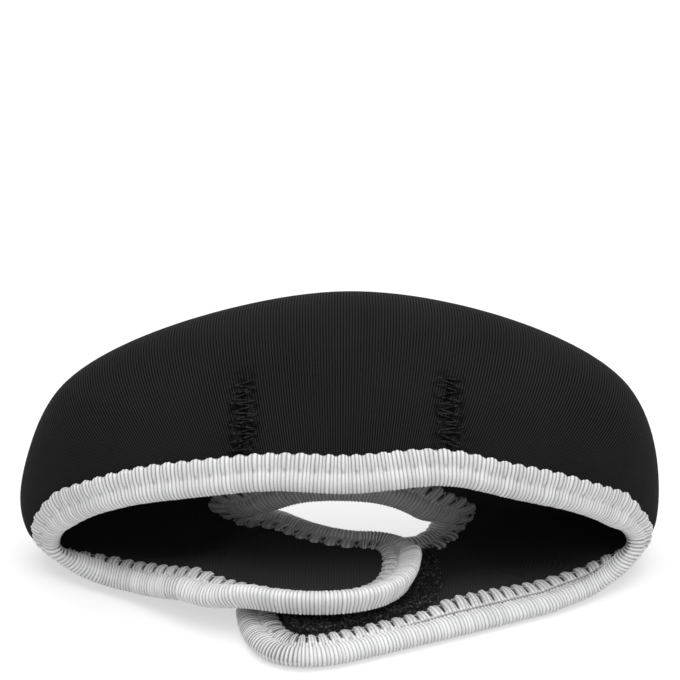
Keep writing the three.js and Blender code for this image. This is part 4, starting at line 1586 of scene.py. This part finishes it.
pile_net, pile_in = new_tree(
    "loop pile",
    {
        "Density": "Float", "Loop size": "Float", "Thread radius": "Float", "Seed": "Int",
        "Material": "Material",
    },
)
pile_normal = pile_net.get("GeometryNodeInputNormal", 0)
face_up = pile_net.get("ShaderNodeSeparateXYZ", 2, None, {0: pile_normal})
pile_points = pile_net.get(
    "GeometryNodeDistributePointsOnFaces", 0, {"distribute_method": "RANDOM"},
    {
        "Mesh": pile_in["Geometry"], "Selection": pile_net.math("GREATER_THAN", face_up, FACES_UP),
        "Density": pile_in["Density"], "Seed": pile_in["Seed"],
    },
)
loop_radius = pile_in["Thread radius"] / pile_in["Loop size"]
loop_turn = pile_net.get(
    "FunctionNodeRandomValue", 0, {"data_type": "FLOAT_VECTOR"},
    {0: (-LOOP_LEAN, -LOOP_LEAN, 0), 1: (LOOP_LEAN, LOOP_LEAN, 2 * math.pi), "Seed": pile_in["Seed"]},
)
loop_size = pile_net.get(
    "FunctionNodeRandomValue", 1, {"data_type": "FLOAT"},
    {2: LOOP_SIZES[0], 3: LOOP_SIZES[1], "Seed": pile_in["Seed"] + 1},
)
pile_copies = copies(
    pile_net,
    {
        "Points": pile_points,
        "Instance": tube(pile_net, LOOP_GUIDE, LOOP_STEPS, LOOP_SIDES, loop_radius, caps=False),
        "Rotation": loop_turn, "Scale": loop_size * pile_in["Loop size"],
    },
)
PILE_TREE = close_tree(pile_net, join(pile_net, pile_in["Geometry"], pile_copies), pile_in["Material"])
pile_sizes = {"Density": 3.2e6, "Loop size": 0.5 * MM, "Thread radius": 0.06 * MM, "Seed": 7}
pile_values = {**pile_sizes, "Material": LOOP_PILE}
cover_patch("loop_pile", "loop_patch", PILE_TREE, pile_values, "right_tab")

# %% Hooks
HOOK_PITCH, HOOK_SIZE = 1.15, 0.45
HOOK_GUIDE = [(0, 0, 0.1), (0, 0, -1.3), (0.9, 0, -1.1), (0.7, 0, -0.45)]
HOOK_STEPS, HOOK_SIDES, HOOK_RADIUS = 6, 4, 0.16
RAY_LENGTH = 0.1

hook_net, hook_in = new_tree(
    "hook field",
    {
        "Width": "Float", "Depth": "Float", "Across": "Int", "Along": "Int", "Hook size": "Float",
        "Centre": "Vector", "Material": "Material",
    },
)
grid_sizes = {k: hook_in[name] for k, name in enumerate(("Width", "Depth", "Across", "Along"))}
hook_grid = hook_net.get("GeometryNodeMeshGrid", 0, None, grid_sizes)
hook_placed = hook_net.get(
    "GeometryNodeSetPosition", 0, None, {"Geometry": hook_grid, "Offset": hook_in["Centre"]}
)
hook_hit = hook_net.get(
    "GeometryNodeRaycast", "Is Hit", None,
    {"Target Geometry": hook_in["Geometry"], "Ray Direction": (0, 0, 1.0), "Ray Length": RAY_LENGTH},
)
hook_copies = copies(
    hook_net,
    {
        "Points": hook_placed, "Selection": hook_hit, "Scale": hook_in["Hook size"],
        "Instance": tube(hook_net, HOOK_GUIDE, HOOK_STEPS, HOOK_SIDES, HOOK_RADIUS),
    },
)
HOOK_TREE = close_tree(hook_net, join(hook_net, hook_in["Geometry"], hook_copies), hook_in["Material"])

hook_low, hook_high = (np.array(corner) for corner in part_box("hook_patch"))
hook_span = hook_high - hook_low
hook_values = {
    "Width": hook_span[0], "Depth": hook_span[1],
    "Across": int(hook_span[0] / MM / HOOK_PITCH), "Along": int(hook_span[1] / MM / HOOK_PITCH),
    "Hook size": HOOK_SIZE * MM, "Material": HOOK_PLASTIC,
    "Centre": tuple((hook_low + hook_high) / 2 * (1, 1, 0) + hook_low * (0, 0, 1)),
}
cover_patch("hook_field", "hook_patch", HOOK_TREE, hook_values, "left_tab")
